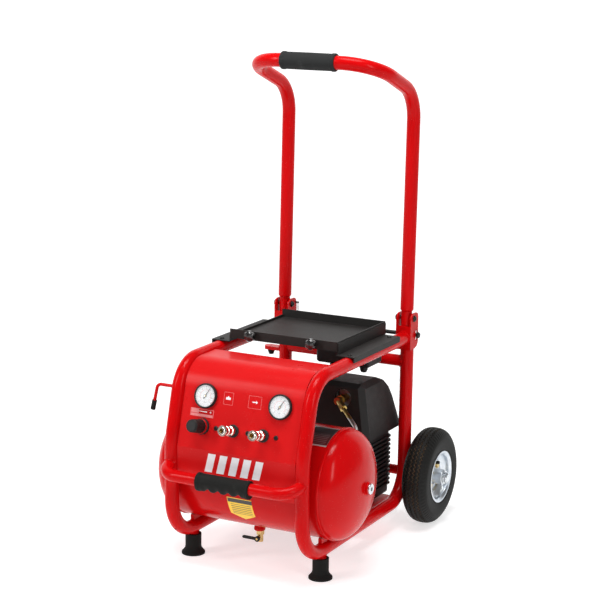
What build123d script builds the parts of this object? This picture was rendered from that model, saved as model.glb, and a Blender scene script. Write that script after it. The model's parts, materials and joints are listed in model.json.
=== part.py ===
"""Wheeled air compressor: tube frame, folding push handle, tank, pump, panel and tray.

Frame: millimetres, +Z up, the control panel faces -Y, and +X is to the right of a
person who faces the panel. The origin is on the ground under the middle of the machine.
"""
import os
from math import atan2, cos, pi, radians, sin, tan

from build123d import *

os.makedirs("parts", exist_ok=True)

# ---------------------------------------------------------------- driving dimensions
TUBE_D = 30.0                  # frame and push handle tube
TUBE_WALL = 2.0
FRAME_X = 155.0                # middle plane of each side frame
FRONT_LEG_Y = -286.5
REAR_LEG_Y = 218.5
RAIL_Z = 61.5                  # bottom rails
TOP_Z = 437.0                  # top rails
KNEE_Z = 277.0                 # the front legs lean back above this height
LEAN_TOP_Y = -244.5            # where the leaning leg would meet the top rail
REAR_LEG_TOP_Z = 424.0

TYRE_D = 220.0
TYRE_W = 62.0
WHEEL_X = 205.0
AXLE_Y = 252.5
AXLE_Z = TYRE_D / 2
AXLE_R = 8.0
AXLE_TUBE_D = 22.0

BRACKET_WALL = 3.0
BRACKET_HALF = TUBE_D / 2 + 0.1 + BRACKET_WALL
BRACKET_FRONT_Y = 194.5
BRACKET_REAR_Y = 236.5
PIVOT_Y, PIVOT_Z = 211.5, 480.5
PIVOT_R = 4.0
LOCK_Y, LOCK_Z = 228.0, 440.0
LOCK_R = 4.5
LOCK_TRAVEL = 8.0
RUNNING = 0.05                 # radial clearance of shafts and pins

HANDLE_LEAN = 1.2              # degrees, backwards
HANDLE_CORNER = 501.0          # pivot to the upper bend, along the arm
HANDLE_REACH = 218.7           # upper bend to the crossbar
HANDLE_RISE = 20.0             # degrees above level, of that stretch
STUB_D = 24.0
STUB_BELOW = 36.0
STUB_ABOVE = 20.0
STUB_SHOULDER = 4.0

TANK_R = 118.0
TANK_WALL = 3.0
TANK_Y, TANK_Z = -151.5, 196.0
TANK_SEAM_X = 181.0
DOME_DEPTH = 55.0

PANEL_HALF = 139.7
PANEL_SHEET = 2.0

TRAY_HALF = 129.5
TRAY_FRONT_Y, TRAY_REAR_Y = -88.5, 153.5
TRAY_FLOOR_Z = 461.0
TRAY_TOP_Z = 481.0
SHEET = 2.0

PUMP_Y, PUMP_Z = 122.0, 150.0  # motor shaft line, along X

SIDES = (("right", 1), ("left", -1))


# ---------------------------------------------------------------- shared shapes
def rod(radius, start, end, mode=Mode.ADD):
    """A round bar between two points, added to or cut from the open part."""
    start, end = Vector(*start), Vector(*end)
    with BuildSketch(Plane(origin=start, z_dir=end - start)) as section:
        Circle(radius)
    extrude(section.sketch, amount=(end - start).length, mode=mode)


def block(low, high, mode=Mode.ADD):
    """A box between its lowest and highest corners."""
    size = [b - a for a, b in zip(low, high)]
    centre = tuple((a + b) / 2 for a, b in zip(low, high))
    with Locations(centre):
        Box(*size, mode=mode)


def swept_tube(points, bends, radius, wall=0.0):
    """A round tube, or a solid rod with no wall, along straight runs joined by arcs."""
    with BuildLine() as path:
        FilletPolyline(*points, radius=bends)
    with BuildSketch(Plane(origin=path.line @ 0, z_dir=path.line % 0)) as section:
        Circle(radius)
        if wall:
            Circle(radius - wall, mode=Mode.SUBTRACT)
    sweep(section.sketch, path=path.line)


def turned(origin, direction, outline, mode=Mode.ADD):
    """Revolves an outline of (radius, distance along) points about an axis."""
    direction = Vector(*direction).normalized()
    across = Vector(0, 0, 1) if abs(direction.Z) < 0.9 else Vector(0, 1, 0)
    across = (across - direction * across.dot(direction)).normalized()
    plane = Plane(origin=origin, x_dir=across, z_dir=across.cross(direction))
    with BuildSketch(plane) as half:
        with BuildLine():
            Polyline(*outline, close=True)
        make_face()
    revolve(half.sketch, axis=Axis(origin, direction), mode=mode)


def hexagon(across_flats, origin, direction, length, mode=Mode.ADD):
    """A hexagonal prism that starts at origin."""
    with BuildSketch(Plane(origin=origin, z_dir=direction)) as section:
        RegularPolygon(across_flats / 2, 6, major_radius=False)
    extrude(section.sketch, amount=length, mode=mode)


def side_profile(x, outline, thickness):
    """A plate in the YZ plane, from x towards +X, cut to an outline of (y, z) points."""
    with BuildSketch(Plane(origin=(x, 0, 0), x_dir=(0, 1, 0), z_dir=(1, 0, 0))) as plate:
        with BuildLine():
            Polyline(*outline, close=True)
        make_face()
    extrude(plate.sketch, amount=thickness)


def save(part, name):
    """Labels a finished piece and writes it as its own STEP file."""
    part.label = name
    export_step(part, f"parts/{name}.step")


# ---------------------------------------------------------------- frame
LEAN = atan2(LEAN_TOP_Y - FRONT_LEG_Y, TOP_Z - KNEE_Z)


def leg_y(z):
    """The front leg's middle line at height z."""
    return FRONT_LEG_Y + max(0.0, z - KNEE_Z) * tan(LEAN)


FOOT_Y = -198.3
FOOT_POST_R = 12.0
FOOT_POST_END_Z = 12.0
TOP_BEND, KNEE_BEND, FRONT_BEND, REAR_BEND = 75.0, 200.0, 85.0, 75.0
DRAIN_HOLE_R = 2.5
TRAY_SCREW_YS = (-78.5, 120.0)
SCREW_HOLE_R = 2.6

for side, s in SIDES:
    x = s * FRAME_X
    with BuildPart() as side_frame:
        swept_tube(
            [
                (x, BRACKET_FRONT_Y, TOP_Z),
                (x, LEAN_TOP_Y, TOP_Z),
                (x, FRONT_LEG_Y, KNEE_Z),
                (x, FRONT_LEG_Y, RAIL_Z),
                (x, REAR_LEG_Y, RAIL_Z),
                (x, REAR_LEG_Y, REAR_LEG_TOP_Z),
            ],
            [TOP_BEND, KNEE_BEND, FRONT_BEND, REAR_BEND],
            TUBE_D / 2,
            TUBE_WALL,
        )
        rod(FOOT_POST_R, (x, FOOT_Y, FOOT_POST_END_Z), (x, FOOT_Y, RAIL_Z - TUBE_D / 2 + 1))
        corner = FRONT_BEND * (1 - cos(radians(45)))
        low = (x, FRONT_LEG_Y + corner - TUBE_D / 2, RAIL_Z + corner - TUBE_D / 2)
        rod(DRAIN_HOLE_R, low, (x, low[1] + TUBE_D / 3, low[2] + TUBE_D / 3), Mode.SUBTRACT)
        for y in TRAY_SCREW_YS:
            rod(SCREW_HOLE_R, (x, y, TOP_Z + TUBE_D / 2 - 4), (x, y, TOP_Z + TUBE_D / 2 + 1), Mode.SUBTRACT)
    save(side_frame.part, f"side_frame_{side}")

CROSS_TUBE_R = 13.0
CROSS_TUBE_Z = 379.0
with BuildPart() as rear_cross_tube:
    ends = ((-FRAME_X, REAR_LEG_Y, CROSS_TUBE_Z), (FRAME_X, REAR_LEG_Y, CROSS_TUBE_Z))
    rod(CROSS_TUBE_R, *ends)
    rod(CROSS_TUBE_R - TUBE_WALL, *ends, Mode.SUBTRACT)
    for s in (-1, 1):
        leg = (s * FRAME_X, REAR_LEG_Y)
        rod(TUBE_D / 2 + 0.1, (*leg, CROSS_TUBE_Z - 30), (*leg, CROSS_TUBE_Z + 30), Mode.SUBTRACT)
save(rear_cross_tube.part, "rear_cross_tube")

AXLE_TUBE_END_X = 160.4
GUSSET_T = 6.0
with BuildPart() as axle_tube:
    ends = ((-AXLE_TUBE_END_X, AXLE_Y, AXLE_Z), (AXLE_TUBE_END_X, AXLE_Y, AXLE_Z))
    for s in (-1, 1):
        inner = REAR_LEG_Y + TUBE_D / 2 + 0.1
        side_profile(
            s * FRAME_X - GUSSET_T / 2,
            [
                (inner, AXLE_Z + 48),
                (inner, AXLE_Z - 3),
                (AXLE_Y - 4, AXLE_Z - AXLE_TUBE_D / 2 + 1),
                (AXLE_Y + AXLE_TUBE_D / 2 - 1, AXLE_Z + 2),
                (inner + 6, AXLE_Z + 48),
            ],
            GUSSET_T,
        )
    rod(AXLE_TUBE_D / 2, *ends)
    rod(AXLE_R + RUNNING, *ends, Mode.SUBTRACT)
save(axle_tube.part, "axle_tube")

CARRY_R = 12.5
CARRY_WELD_Z, CARRY_BAR_Z = 228.0, 216.5
CARRY_REACH = 49.0
CARRY_BEND = 40.0
CARRY_BAR_Y = FRONT_LEG_Y - CARRY_REACH
with BuildPart() as carry_handle_tube:
    swept_tube(
        [
            (-FRAME_X, FRONT_LEG_Y, CARRY_WELD_Z),
            (-FRAME_X, CARRY_BAR_Y, CARRY_BAR_Z),
            (FRAME_X, CARRY_BAR_Y, CARRY_BAR_Z),
            (FRAME_X, FRONT_LEG_Y, CARRY_WELD_Z),
        ],
        [CARRY_BEND, CARRY_BEND],
        CARRY_R,
        TUBE_WALL,
    )
    for s in (-1, 1):
        leg = (s * FRAME_X, FRONT_LEG_Y)
        rod(TUBE_D / 2 + 0.1, (*leg, CARRY_WELD_Z - 30), (*leg, CARRY_WELD_Z + 30), Mode.SUBTRACT)
save(carry_handle_tube.part, "carry_handle_tube")

CARRY_GRIP_HALF = 62.0
CARRY_GRIP_R = 16.5
CARRY_GRIP_DROP = 4.0          # the fingers' side is this much deeper
FINGER_XS = (-36.0, -12.0, 12.0, 36.0)
FINGER_R = 12.5
with BuildPart() as carry_handle_grip:
    for drop in (0.0, CARRY_GRIP_DROP):
        z = CARRY_BAR_Z - drop
        rod(CARRY_GRIP_R, (-CARRY_GRIP_HALF, CARRY_BAR_Y, z), (CARRY_GRIP_HALF, CARRY_BAR_Y, z))
        for s in (-1, 1):
            collar = (s * CARRY_GRIP_HALF, CARRY_BAR_Y, z)
            rod(CARRY_GRIP_R + 1, collar, (s * (CARRY_GRIP_HALF - 8), CARRY_BAR_Y, z))
    for x in FINGER_XS:
        z = CARRY_BAR_Z - CARRY_GRIP_R - FINGER_R
        rod(FINGER_R, (x, CARRY_BAR_Y - 20, z), (x, CARRY_BAR_Y + 20, z), Mode.SUBTRACT)
    rod(
        CARRY_R,
        (-CARRY_GRIP_HALF, CARRY_BAR_Y, CARRY_BAR_Z),
        (CARRY_GRIP_HALF, CARRY_BAR_Y, CARRY_BAR_Z),
        Mode.SUBTRACT,
    )
save(carry_handle_grip.part, "carry_handle_grip")

HOOK_R = 3.5
HOOK_Z = 385.0
HOOK_Y = leg_y(HOOK_Z)
HOOK_OUT_X = -FRAME_X - 52
HOOK_TIP = (HOOK_OUT_X - 12, HOOK_Y, HOOK_Z - 54)
HOOK_CAP_L, HOOK_CAP_R = 21.0, 5.2
with BuildPart() as hose_hook:
    swept_tube(
        [(-FRAME_X - TUBE_D / 2 - 0.1, HOOK_Y, HOOK_Z), (HOOK_OUT_X, HOOK_Y, HOOK_Z), HOOK_TIP],
        [11.0],
        HOOK_R,
    )
save(hose_hook.part, "hose_hook")

hook_way = (Vector(*HOOK_TIP) - Vector(HOOK_OUT_X, HOOK_Y, HOOK_Z)).normalized()
LUG_Z = 366.0
LUG_T = 8.0
LUG_W = 24.0
LUG_LENGTH = 39.0
LUG_END_X = -FRAME_X - TUBE_D / 2 - LUG_LENGTH
BUFFER_X = LUG_END_X + LUG_W / 2 + 4
with BuildPart() as cable_lug:
    lug_centre = (LUG_END_X + LUG_W / 2, REAR_LEG_Y)
    block(
        (lug_centre[0], REAR_LEG_Y - LUG_W / 2, LUG_Z),
        (-FRAME_X, REAR_LEG_Y + LUG_W / 2, LUG_Z + LUG_T),
    )
    rod(LUG_W / 2, (*lug_centre, LUG_Z), (*lug_centre, LUG_Z + LUG_T))
    leg = (-FRAME_X, REAR_LEG_Y)
    rod(TUBE_D / 2 + 0.1, (*leg, LUG_Z - 5), (*leg, LUG_Z + LUG_T + 5), Mode.SUBTRACT)
    rod(2.6, (BUFFER_X, REAR_LEG_Y, LUG_Z), (BUFFER_X, REAR_LEG_Y, LUG_Z + LUG_T), Mode.SUBTRACT)
save(cable_lug.part, "cable_lug")

with BuildPart() as rubber_end_caps:
    cap_end = Vector(*HOOK_TIP) + hook_way * 3
    cap_start = cap_end - hook_way * HOOK_CAP_L
    rod(HOOK_CAP_R, cap_start, cap_end)
    rod(HOOK_R, cap_start, Vector(*HOOK_TIP), Mode.SUBTRACT)
    turned(
        (BUFFER_X, REAR_LEG_Y, LUG_Z),
        (0, 0, -1),
        [(0, -LUG_T), (2.5, -LUG_T), (2.5, 0), (8, 0), (8, 4), (5.5, 12), (0, 12)],
    )
save(rubber_end_caps.part, "rubber_end_caps")

FOOT_R, FOOT_FLARE_R = 17.5, 25.5
FOOT_TOP_Z = 45.0
with BuildPart() as rubber_feet:
    for s in (-1, 1):
        base = (s * FRAME_X, FOOT_Y, 0)
        turned(
            base,
            (0, 0, 1),
            [
                (0, 0), (FOOT_FLARE_R, 0), (FOOT_FLARE_R, 4), (FOOT_FLARE_R - 3, 7),
                (FOOT_R + 1.2, 12), (FOOT_R, 17), (FOOT_R, FOOT_TOP_Z), (0, FOOT_TOP_Z),
            ],
        )
        rod(FOOT_POST_R, (*base[:2], FOOT_POST_END_Z), (*base[:2], FOOT_TOP_Z + 1), Mode.SUBTRACT)
save(rubber_feet.part, "rubber_feet")

# ---------------------------------------------------------------- hinge brackets and lock
EAR_TOP_Z = 493.0
EAR_FOOT_Z = 411.0
FRONT_WALL_TOP_Z = 464.5
with BuildPart() as hinge_brackets:
    for s in (-1, 1):
        x = s * FRAME_X
        side_profile(
            x - BRACKET_HALF,
            [
                (BRACKET_FRONT_Y, EAR_FOOT_Z),
                (BRACKET_FRONT_Y, EAR_TOP_Z),
                (BRACKET_REAR_Y - 1, EAR_TOP_Z),
                (BRACKET_REAR_Y, EAR_FOOT_Z + 12),
                (BRACKET_REAR_Y - 6, EAR_FOOT_Z + 4),
                (BRACKET_REAR_Y - 18, EAR_FOOT_Z),
            ],
            2 * BRACKET_HALF,
        )
    tops = hinge_brackets.edges().filter_by(Axis.X).group_by(Axis.Z)[-1]
    fillet(tops, 13.0)
    for s in (-1, 1):
        x = s * FRAME_X
        block(
            (x - BRACKET_HALF + BRACKET_WALL, BRACKET_FRONT_Y + BRACKET_WALL, EAR_FOOT_Z - 1),
            (x + BRACKET_HALF - BRACKET_WALL, BRACKET_REAR_Y + 1, EAR_TOP_Z + 1),
            Mode.SUBTRACT,
        )
        block(
            (x - BRACKET_HALF + BRACKET_WALL, BRACKET_FRONT_Y - 1, FRONT_WALL_TOP_Z),
            (x + BRACKET_HALF - BRACKET_WALL, BRACKET_REAR_Y, EAR_TOP_Z + 1),
            Mode.SUBTRACT,
        )
        pin_line = ((x - 25, PIVOT_Y, PIVOT_Z), (x + 25, PIVOT_Y, PIVOT_Z))
        rod(PIVOT_R + RUNNING, *pin_line, Mode.SUBTRACT)
        with BuildSketch(Plane(origin=(x - 25, LOCK_Y, LOCK_Z), x_dir=(0, 0, 1), z_dir=(1, 0, 0))) as slot:
            SlotCenterToCenter(2 * LOCK_TRAVEL + 0.6, 2 * LOCK_R + 0.6)
        extrude(slot.sketch, amount=50, mode=Mode.SUBTRACT)
save(hinge_brackets.part, "hinge_brackets")

LOCK_END_X = FRAME_X + BRACKET_HALF + 1.0
with BuildPart() as lock_bar:
    rod(LOCK_R, (-LOCK_END_X - 5, LOCK_Y, LOCK_Z), (LOCK_END_X + 5, LOCK_Y, LOCK_Z))
    for s in (-1, 1):
        turned(
            (s * LOCK_END_X, LOCK_Y, LOCK_Z),
            (s, 0, 0),
            [(0, 0), (7, 0), (7, 3), (5.5, 6), (0, 6.5)],
        )
save(lock_bar.part, "lock_bar")

SPRING_X = FRAME_X - BRACKET_HALF - 5.5
SPRING_TOP_Z = 483.0
SPRING_R = 3.5
with BuildPart() as lock_springs:
    for s in (-1, 1):
        low = (s * SPRING_X, LOCK_Y + 2, LOCK_Z + LOCK_R + 0.4)
        high = (s * SPRING_X, LOCK_Y + 2, SPRING_TOP_Z - 3)
        rod(SPRING_R, low, high)
        rod(SPRING_R - 1, low, high, Mode.SUBTRACT)
save(lock_springs.part, "lock_springs")

with BuildPart() as pivot_bolts:
    for s in (-1, 1):
        x = s * FRAME_X
        head_x = x + BRACKET_HALF + 0.1
        rod(PIVOT_R, (x - BRACKET_HALF - 8, PIVOT_Y, PIVOT_Z), (head_x, PIVOT_Y, PIVOT_Z))
        turned(
            (head_x, PIVOT_Y, PIVOT_Z),
            (1, 0, 0),
            [(0, 0), (7, 0), (7, 1.5), (5.2, 4), (2.6, 4.6), (2.6, 2), (0, 2)],
        )
        nut = (x - BRACKET_HALF - 0.1, PIVOT_Y, PIVOT_Z)
        hexagon(13.0, nut, (-1, 0, 0), 6.5)
        pin = (x - s * (BRACKET_HALF + 0.1), LOCK_Y + 2, SPRING_TOP_Z - 1)
        rod(2.0, pin, (pin[0] - s * 9, pin[1], pin[2]))
save(pivot_bolts.part, "pivot_bolts")

# ---------------------------------------------------------------- push handle
arm = Vector(0, sin(radians(HANDLE_LEAN)), cos(radians(HANDLE_LEAN)))
pivot = Vector(0, PIVOT_Y, PIVOT_Z)
corner = pivot + arm * HANDLE_CORNER
rise = radians(HANDLE_RISE)
crossbar = corner + Vector(0, -cos(rise), sin(rise)) * HANDLE_REACH
swage = pivot + arm * STUB_ABOVE
UPPER_BEND, CROSSBAR_BEND = 80.0, 84.0


def on_side(point, s):
    """The point of the handle's middle plane moved out to one arm."""
    return (s * FRAME_X, point.Y, point.Z)


with BuildPart() as push_handle_tube:
    swept_tube(
        [
            on_side(swage, -1),
            on_side(corner, -1),
            on_side(crossbar, -1),
            on_side(crossbar, 1),
            on_side(corner, 1),
            on_side(swage, 1),
        ],
        [UPPER_BEND, CROSSBAR_BEND, CROSSBAR_BEND, UPPER_BEND],
        TUBE_D / 2,
        TUBE_WALL,
    )
    for s in (-1, 1):
        stub_r, tube_r = STUB_D / 2, TUBE_D / 2
        turned(
            on_side(swage, s),
            tuple(-arm),
            [
                (tube_r - TUBE_WALL, 0), (tube_r, 0), (stub_r, STUB_SHOULDER),
                (stub_r, STUB_ABOVE + STUB_BELOW), (stub_r - TUBE_WALL, STUB_ABOVE + STUB_BELOW),
                (stub_r - TUBE_WALL, STUB_SHOULDER),
            ],
        )
        rod(
            PIVOT_R + 3,
            (s * FRAME_X - stub_r + 1, PIVOT_Y, PIVOT_Z),
            (s * FRAME_X + stub_r - 1, PIVOT_Y, PIVOT_Z),
        )
        rod(
            PIVOT_R + RUNNING,
            (s * FRAME_X - 25, PIVOT_Y, PIVOT_Z),
            (s * FRAME_X + 25, PIVOT_Y, PIVOT_Z),
            Mode.SUBTRACT,
        )
save(push_handle_tube.part, "push_handle_tube")

HANDLE_GRIP_HALF = 64.5
HANDLE_GRIP_R = 19.5
with BuildPart() as push_handle_grip:
    turned(
        (-HANDLE_GRIP_HALF, crossbar.Y, crossbar.Z),
        (1, 0, 0),
        [
            (TUBE_D / 2, 0), (HANDLE_GRIP_R - 1.5, 0), (HANDLE_GRIP_R, 1.5), (HANDLE_GRIP_R, 7),
            (HANDLE_GRIP_R - 0.8, 8), (HANDLE_GRIP_R - 0.8, 2 * HANDLE_GRIP_HALF - 8),
            (HANDLE_GRIP_R, 2 * HANDLE_GRIP_HALF - 7), (HANDLE_GRIP_R, 2 * HANDLE_GRIP_HALF - 1.5),
            (HANDLE_GRIP_R - 1.5, 2 * HANDLE_GRIP_HALF), (TUBE_D / 2, 2 * HANDLE_GRIP_HALF),
        ],
    )
save(push_handle_grip.part, "push_handle_grip")

# ---------------------------------------------------------------- tank
with BuildPart() as tank_shell:
    seam = TANK_SEAM_X - 5
    rod(TANK_R, (-seam, TANK_Y, TANK_Z), (seam, TANK_Y, TANK_Z))
    rod(TANK_R - TANK_WALL, (-seam, TANK_Y, TANK_Z), (seam, TANK_Y, TANK_Z), Mode.SUBTRACT)
save(tank_shell.part, "tank_shell")

BOSS_R, BOSS_BORE_R = 13.0, 9.0
BOSS_END_X = TANK_SEAM_X + DOME_DEPTH + 7
with BuildPart() as tank_ends:
    for s in (-1, 1):
        centre = (s * TANK_SEAM_X, TANK_Y, TANK_Z)
        dome = Plane(origin=centre, x_dir=(s, 0, 0), z_dir=(0, -s, 0))
        inner_r, inner_depth = TANK_R - TANK_WALL, DOME_DEPTH - TANK_WALL
        with BuildSketch(dome) as half:
            with BuildLine():
                EllipticalCenterArc((0, 0), DOME_DEPTH, TANK_R, start_angle=0, arc_size=90)
                Line((0, TANK_R), (-1.5, TANK_R + 1.6))
                Line((-1.5, TANK_R + 1.6), (-4.9, TANK_R + 1.6))
                Line((-4.9, TANK_R + 1.6), (-4.9, inner_r))
                Line((-4.9, inner_r), (0, inner_r))
                EllipticalCenterArc((0, 0), inner_depth, inner_r, start_angle=0, arc_size=90)
                Line((inner_depth, 0), (DOME_DEPTH, 0))
            make_face()
        revolve(half.sketch, axis=Axis(centre, (s, 0, 0)))
        boss_end = (s * BOSS_END_X, TANK_Y, TANK_Z)
        rod(BOSS_R, (s * (TANK_SEAM_X + DOME_DEPTH - 2), TANK_Y, TANK_Z), boss_end)
        rod(BOSS_BORE_R, centre, boss_end, Mode.SUBTRACT)
save(tank_ends.part, "tank_ends")

with BuildPart() as tank_plugs:
    for s in (-1, 1):
        turned(
            (s * (BOSS_END_X - 12), TANK_Y, TANK_Z),
            (s, 0, 0),
            [(0, 0), (BOSS_BORE_R, 0), (BOSS_BORE_R, 12), (11.5, 12), (11.5, 15), (10.5, 16), (0, 16)],
        )
        hexagon(8.0, (s * (BOSS_END_X - 2), TANK_Y, TANK_Z), (s, 0, 0), 7, Mode.SUBTRACT)
save(tank_plugs.part, "tank_plugs")

SADDLE_HALF_Y = 52.0
PLATE_LOW_Z = 64.0
PLATE_T = 4.0
PLATE_YS = (PUMP_Y - 66, PUMP_Y + 66)
with BuildPart() as base_plates:
    for s in (-1, 1):
        x = s * FRAME_X
        block(
            (x - 4, TANK_Y - SADDLE_HALF_Y, RAIL_Z + TUBE_D / 2 - 3),
            (x + 4, TANK_Y + SADDLE_HALF_Y, TANK_Z - TANK_R + 10),
        )
        rail = ((x, TANK_Y - 80, RAIL_Z), (x, TANK_Y + 80, RAIL_Z))
        rod(TUBE_D / 2 + 0.1, *rail, Mode.SUBTRACT)
    rod(TANK_R + 0.1, (-FRAME_X - 10, TANK_Y, TANK_Z), (FRAME_X + 10, TANK_Y, TANK_Z), Mode.SUBTRACT)
    inner_x = FRAME_X - TUBE_D / 2 - 0.1
    block((-inner_x, PLATE_YS[0], PLATE_LOW_Z), (inner_x, PLATE_YS[1], PLATE_LOW_Z + PLATE_T))
    for y in PLATE_YS:
        block((-inner_x, y - 2, PLATE_LOW_Z - 18), (inner_x, y + 2, PLATE_LOW_Z + PLATE_T))
save(base_plates.part, "base_plates")

DRAIN_X = -15.0
DRAIN_TOP_Z = TANK_Z - TANK_R + 0.4
LEVER_Z = DRAIN_TOP_Z - 33
with BuildPart() as drain_valve:
    rod(11.0, (DRAIN_X, TANK_Y, DRAIN_TOP_Z - 13), (DRAIN_X, TANK_Y, DRAIN_TOP_Z + 2))
    rod(TANK_R + 0.1, (DRAIN_X - 20, TANK_Y, TANK_Z), (DRAIN_X + 20, TANK_Y, TANK_Z), Mode.SUBTRACT)
    hexagon(17.0, (DRAIN_X, TANK_Y, DRAIN_TOP_Z - 25), (0, 0, 1), 12)
    rod(6.5, (DRAIN_X, TANK_Y, LEVER_Z - 9), (DRAIN_X, TANK_Y, DRAIN_TOP_Z - 24))
    rod(4.5, (DRAIN_X, TANK_Y - 11, LEVER_Z), (DRAIN_X, TANK_Y, LEVER_Z))
    rod(2.5, (DRAIN_X, TANK_Y - 17, LEVER_Z), (DRAIN_X, TANK_Y - 10, LEVER_Z))
    rod(3.0, (DRAIN_X, TANK_Y, LEVER_Z - 10), (DRAIN_X, TANK_Y, LEVER_Z - 3), Mode.SUBTRACT)
save(drain_valve.part, "drain_valve")

with BuildPart() as drain_lever:
    hub = (DRAIN_X, TANK_Y - 11.4, LEVER_Z)
    rod(6.0, hub, (hub[0], hub[1] - 5, hub[2]))
    block((DRAIN_X - 33, hub[1] - 4.5, LEVER_Z - 3), (DRAIN_X, hub[1] - 0.5, LEVER_Z + 3))
    rod(3.0, (DRAIN_X - 33, hub[1] - 0.5, LEVER_Z), (DRAIN_X - 33, hub[1] - 4.5, LEVER_Z))
    rod(2.5 + RUNNING, (hub[0], hub[1] + 1, hub[2]), (hub[0], hub[1] - 6, hub[2]), Mode.SUBTRACT)
save(drain_lever.part, "drain_lever")

# ---------------------------------------------------------------- control panel
PANEL_PROUD = 4.0              # how far the panel's face stands in front of the legs' middle
PANEL_LOW_Z = 186.0
PANEL_CREASE_Z = 268.0
PANEL_BACK_Y = -133.0
PANEL_TOP_Z = TOP_Z + 6.0
PANEL_TOP_BEND = 70.0
face_up = Vector(0, sin(LEAN), cos(LEAN))
face_out = Vector(0, -cos(LEAN), sin(LEAN))
crease = Vector(0, FRONT_LEG_Y - PANEL_PROUD, PANEL_CREASE_Z)


def on_face(x, z):
    """The point of the panel's outer face at height z."""
    return crease + face_up * ((z - PANEL_CREASE_Z) / cos(LEAN)) + Vector(x, 0, 0)


panel_corner = on_face(0, PANEL_TOP_Z)
PORT_Z = 314.5
GAUGE_Z = 376.0
GAUGE_XS = {-1: -85.5, 1: 90.5}
REGULATOR_X = -86.0
COUPLER_XS = (-12.0, 58.5)
SCREW_XS = (-53.0, 22.5, 88.5)
GAUGE_HOLE_R, REGULATOR_HOLE_R, COUPLER_HOLE_R = 25.3, 16.3, 12.3

with BuildPart() as control_panel:
    with BuildSketch(Plane.YZ.offset(-PANEL_HALF)) as panel_section:
        with BuildLine():
            FilletPolyline(
                (crease.Y, PANEL_LOW_Z),
                (crease.Y, PANEL_CREASE_Z),
                (panel_corner.Y, PANEL_TOP_Z),
                (PANEL_BACK_Y, PANEL_TOP_Z),
                radius=[12.0, PANEL_TOP_BEND],
            )
            offset(amount=PANEL_SHEET, side=Side.RIGHT)
        make_face()
    extrude(panel_section.sketch, amount=2 * PANEL_HALF)
    for x, radius, z in (
        [(x, GAUGE_HOLE_R, GAUGE_Z) for x in GAUGE_XS.values()]
        + [(REGULATOR_X, REGULATOR_HOLE_R, PORT_Z)]
        + [(x, COUPLER_HOLE_R, PORT_Z) for x in COUPLER_XS]
        + [(x, 2.6, PORT_Z) for x in SCREW_XS]
    ):
        centre = on_face(x, z)
        rod(radius, centre + face_out * 3, centre - face_out * 8, Mode.SUBTRACT)
save(control_panel.part, "control_panel")

FACE_TILT = {"x_dir": (1, 0, 0), "z_dir": face_out}

BEZEL_R, CASE_R, CASE_BORE_R = 26.2, 25.0, 22.9
with BuildPart() as gauge_cases:
    for s in (-1, 1):
        turned(
            on_face(GAUGE_XS[s], GAUGE_Z) - face_out * 36,
            face_out,
            [
                (0, 9), (5, 9), (5, 14), (CASE_R, 14), (CASE_R, 36.1), (BEZEL_R, 36.1),
                (BEZEL_R, 42), (BEZEL_R - 1.2, 43.5), (CASE_BORE_R + 0.8, 43.5), (CASE_BORE_R, 42.4),
                (CASE_BORE_R, 16), (0, 16),
            ],
        )
save(gauge_cases.part, "gauge_cases")

DIAL_R = CASE_BORE_R - 0.1
DIAL_PROUD = 4.2                # the dial's face stands in front of the panel's
with BuildPart() as gauge_dials:
    for s in (-1, 1):
        spot = on_face(GAUGE_XS[s], GAUGE_Z)
        turned(spot + face_out * (DIAL_PROUD - 0.8), face_out, [(0, 0), (DIAL_R, 0), (DIAL_R, 0.8), (0, 0.8)])
        turned(spot - face_out * 20, face_out, [(0, 0), (4, 0), (4, DIAL_PROUD + 19.2), (0, DIAL_PROUD + 19.2)])
save(gauge_dials.part, "gauge_dials")

with BuildPart() as gauge_lenses:
    for s in (-1, 1):
        spot = on_face(GAUGE_XS[s], GAUGE_Z)
        turned(spot + face_out * (DIAL_PROUD + 1.6), face_out, [(0, 0), (DIAL_R, 0), (DIAL_R, 1.0), (0, 1.3)])
save(gauge_lenses.part, "gauge_lenses")

NEEDLE_ANGLE = 30.0            # from the top towards +X, at rest
for side, s in SIDES:
    spot = on_face(GAUGE_XS[s], GAUGE_Z) + face_out * (DIAL_PROUD + 0.5)
    with BuildPart() as gauge_needle:
        turn = radians(NEEDLE_ANGLE)
        across = Vector(cos(turn), 0, 0) - face_up * sin(turn)
        with BuildSketch(Plane(origin=spot, x_dir=across, z_dir=face_out)) as needle:
            with BuildLine():
                Polyline((-1.5, -7), (1.5, -7), (1.0, 0), (0.3, 18), (-0.3, 18), (-1.0, 0), close=True)
            make_face()
            Circle(3.0)
        extrude(needle.sketch, amount=0.6)
    save(gauge_needle.part, f"gauge_needle_{side}")

REGULATOR_R = 16.0
with BuildPart() as regulator_body:
    spot = on_face(REGULATOR_X, PORT_Z)
    turned(
        spot - face_out * 11.9,
        face_out,
        [(0, 0), (REGULATOR_R, 0), (REGULATOR_R, 11.9), (17.5, 12), (17.5, 18.5), (16.5, 19.5),
         (9, 19.5), (9, 24), (0, 24)],
    )
    for n in range(24):
        turn = 2 * pi * n / 24
        edge = spot + Vector(1, 0, 0) * 18.1 * cos(turn) + face_up * 18.1 * sin(turn)
        rod(1.2, edge - face_out * 1, edge + face_out * 9, Mode.SUBTRACT)
save(regulator_body.part, "regulator_body")

KNOB_R = 14.5
with BuildPart() as regulator_knob:
    turned(
        spot + face_out * 8,
        face_out,
        [(9.3, 0), (KNOB_R + 0.5, 0), (KNOB_R + 0.5, 4), (KNOB_R, 4), (KNOB_R - 0.8, 35), (KNOB_R - 3, 38),
         (0, 38), (0, 5), (9.3, 5)],
    )
    for n in range(20):
        turn = 2 * pi * n / 20
        edge = spot + (Vector(1, 0, 0) * cos(turn) + face_up * sin(turn)) * (KNOB_R + 0.4)
        rod(1.3, edge + face_out * 14, edge + face_out * 47, Mode.SUBTRACT)
save(regulator_knob.part, "regulator_knob")

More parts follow.
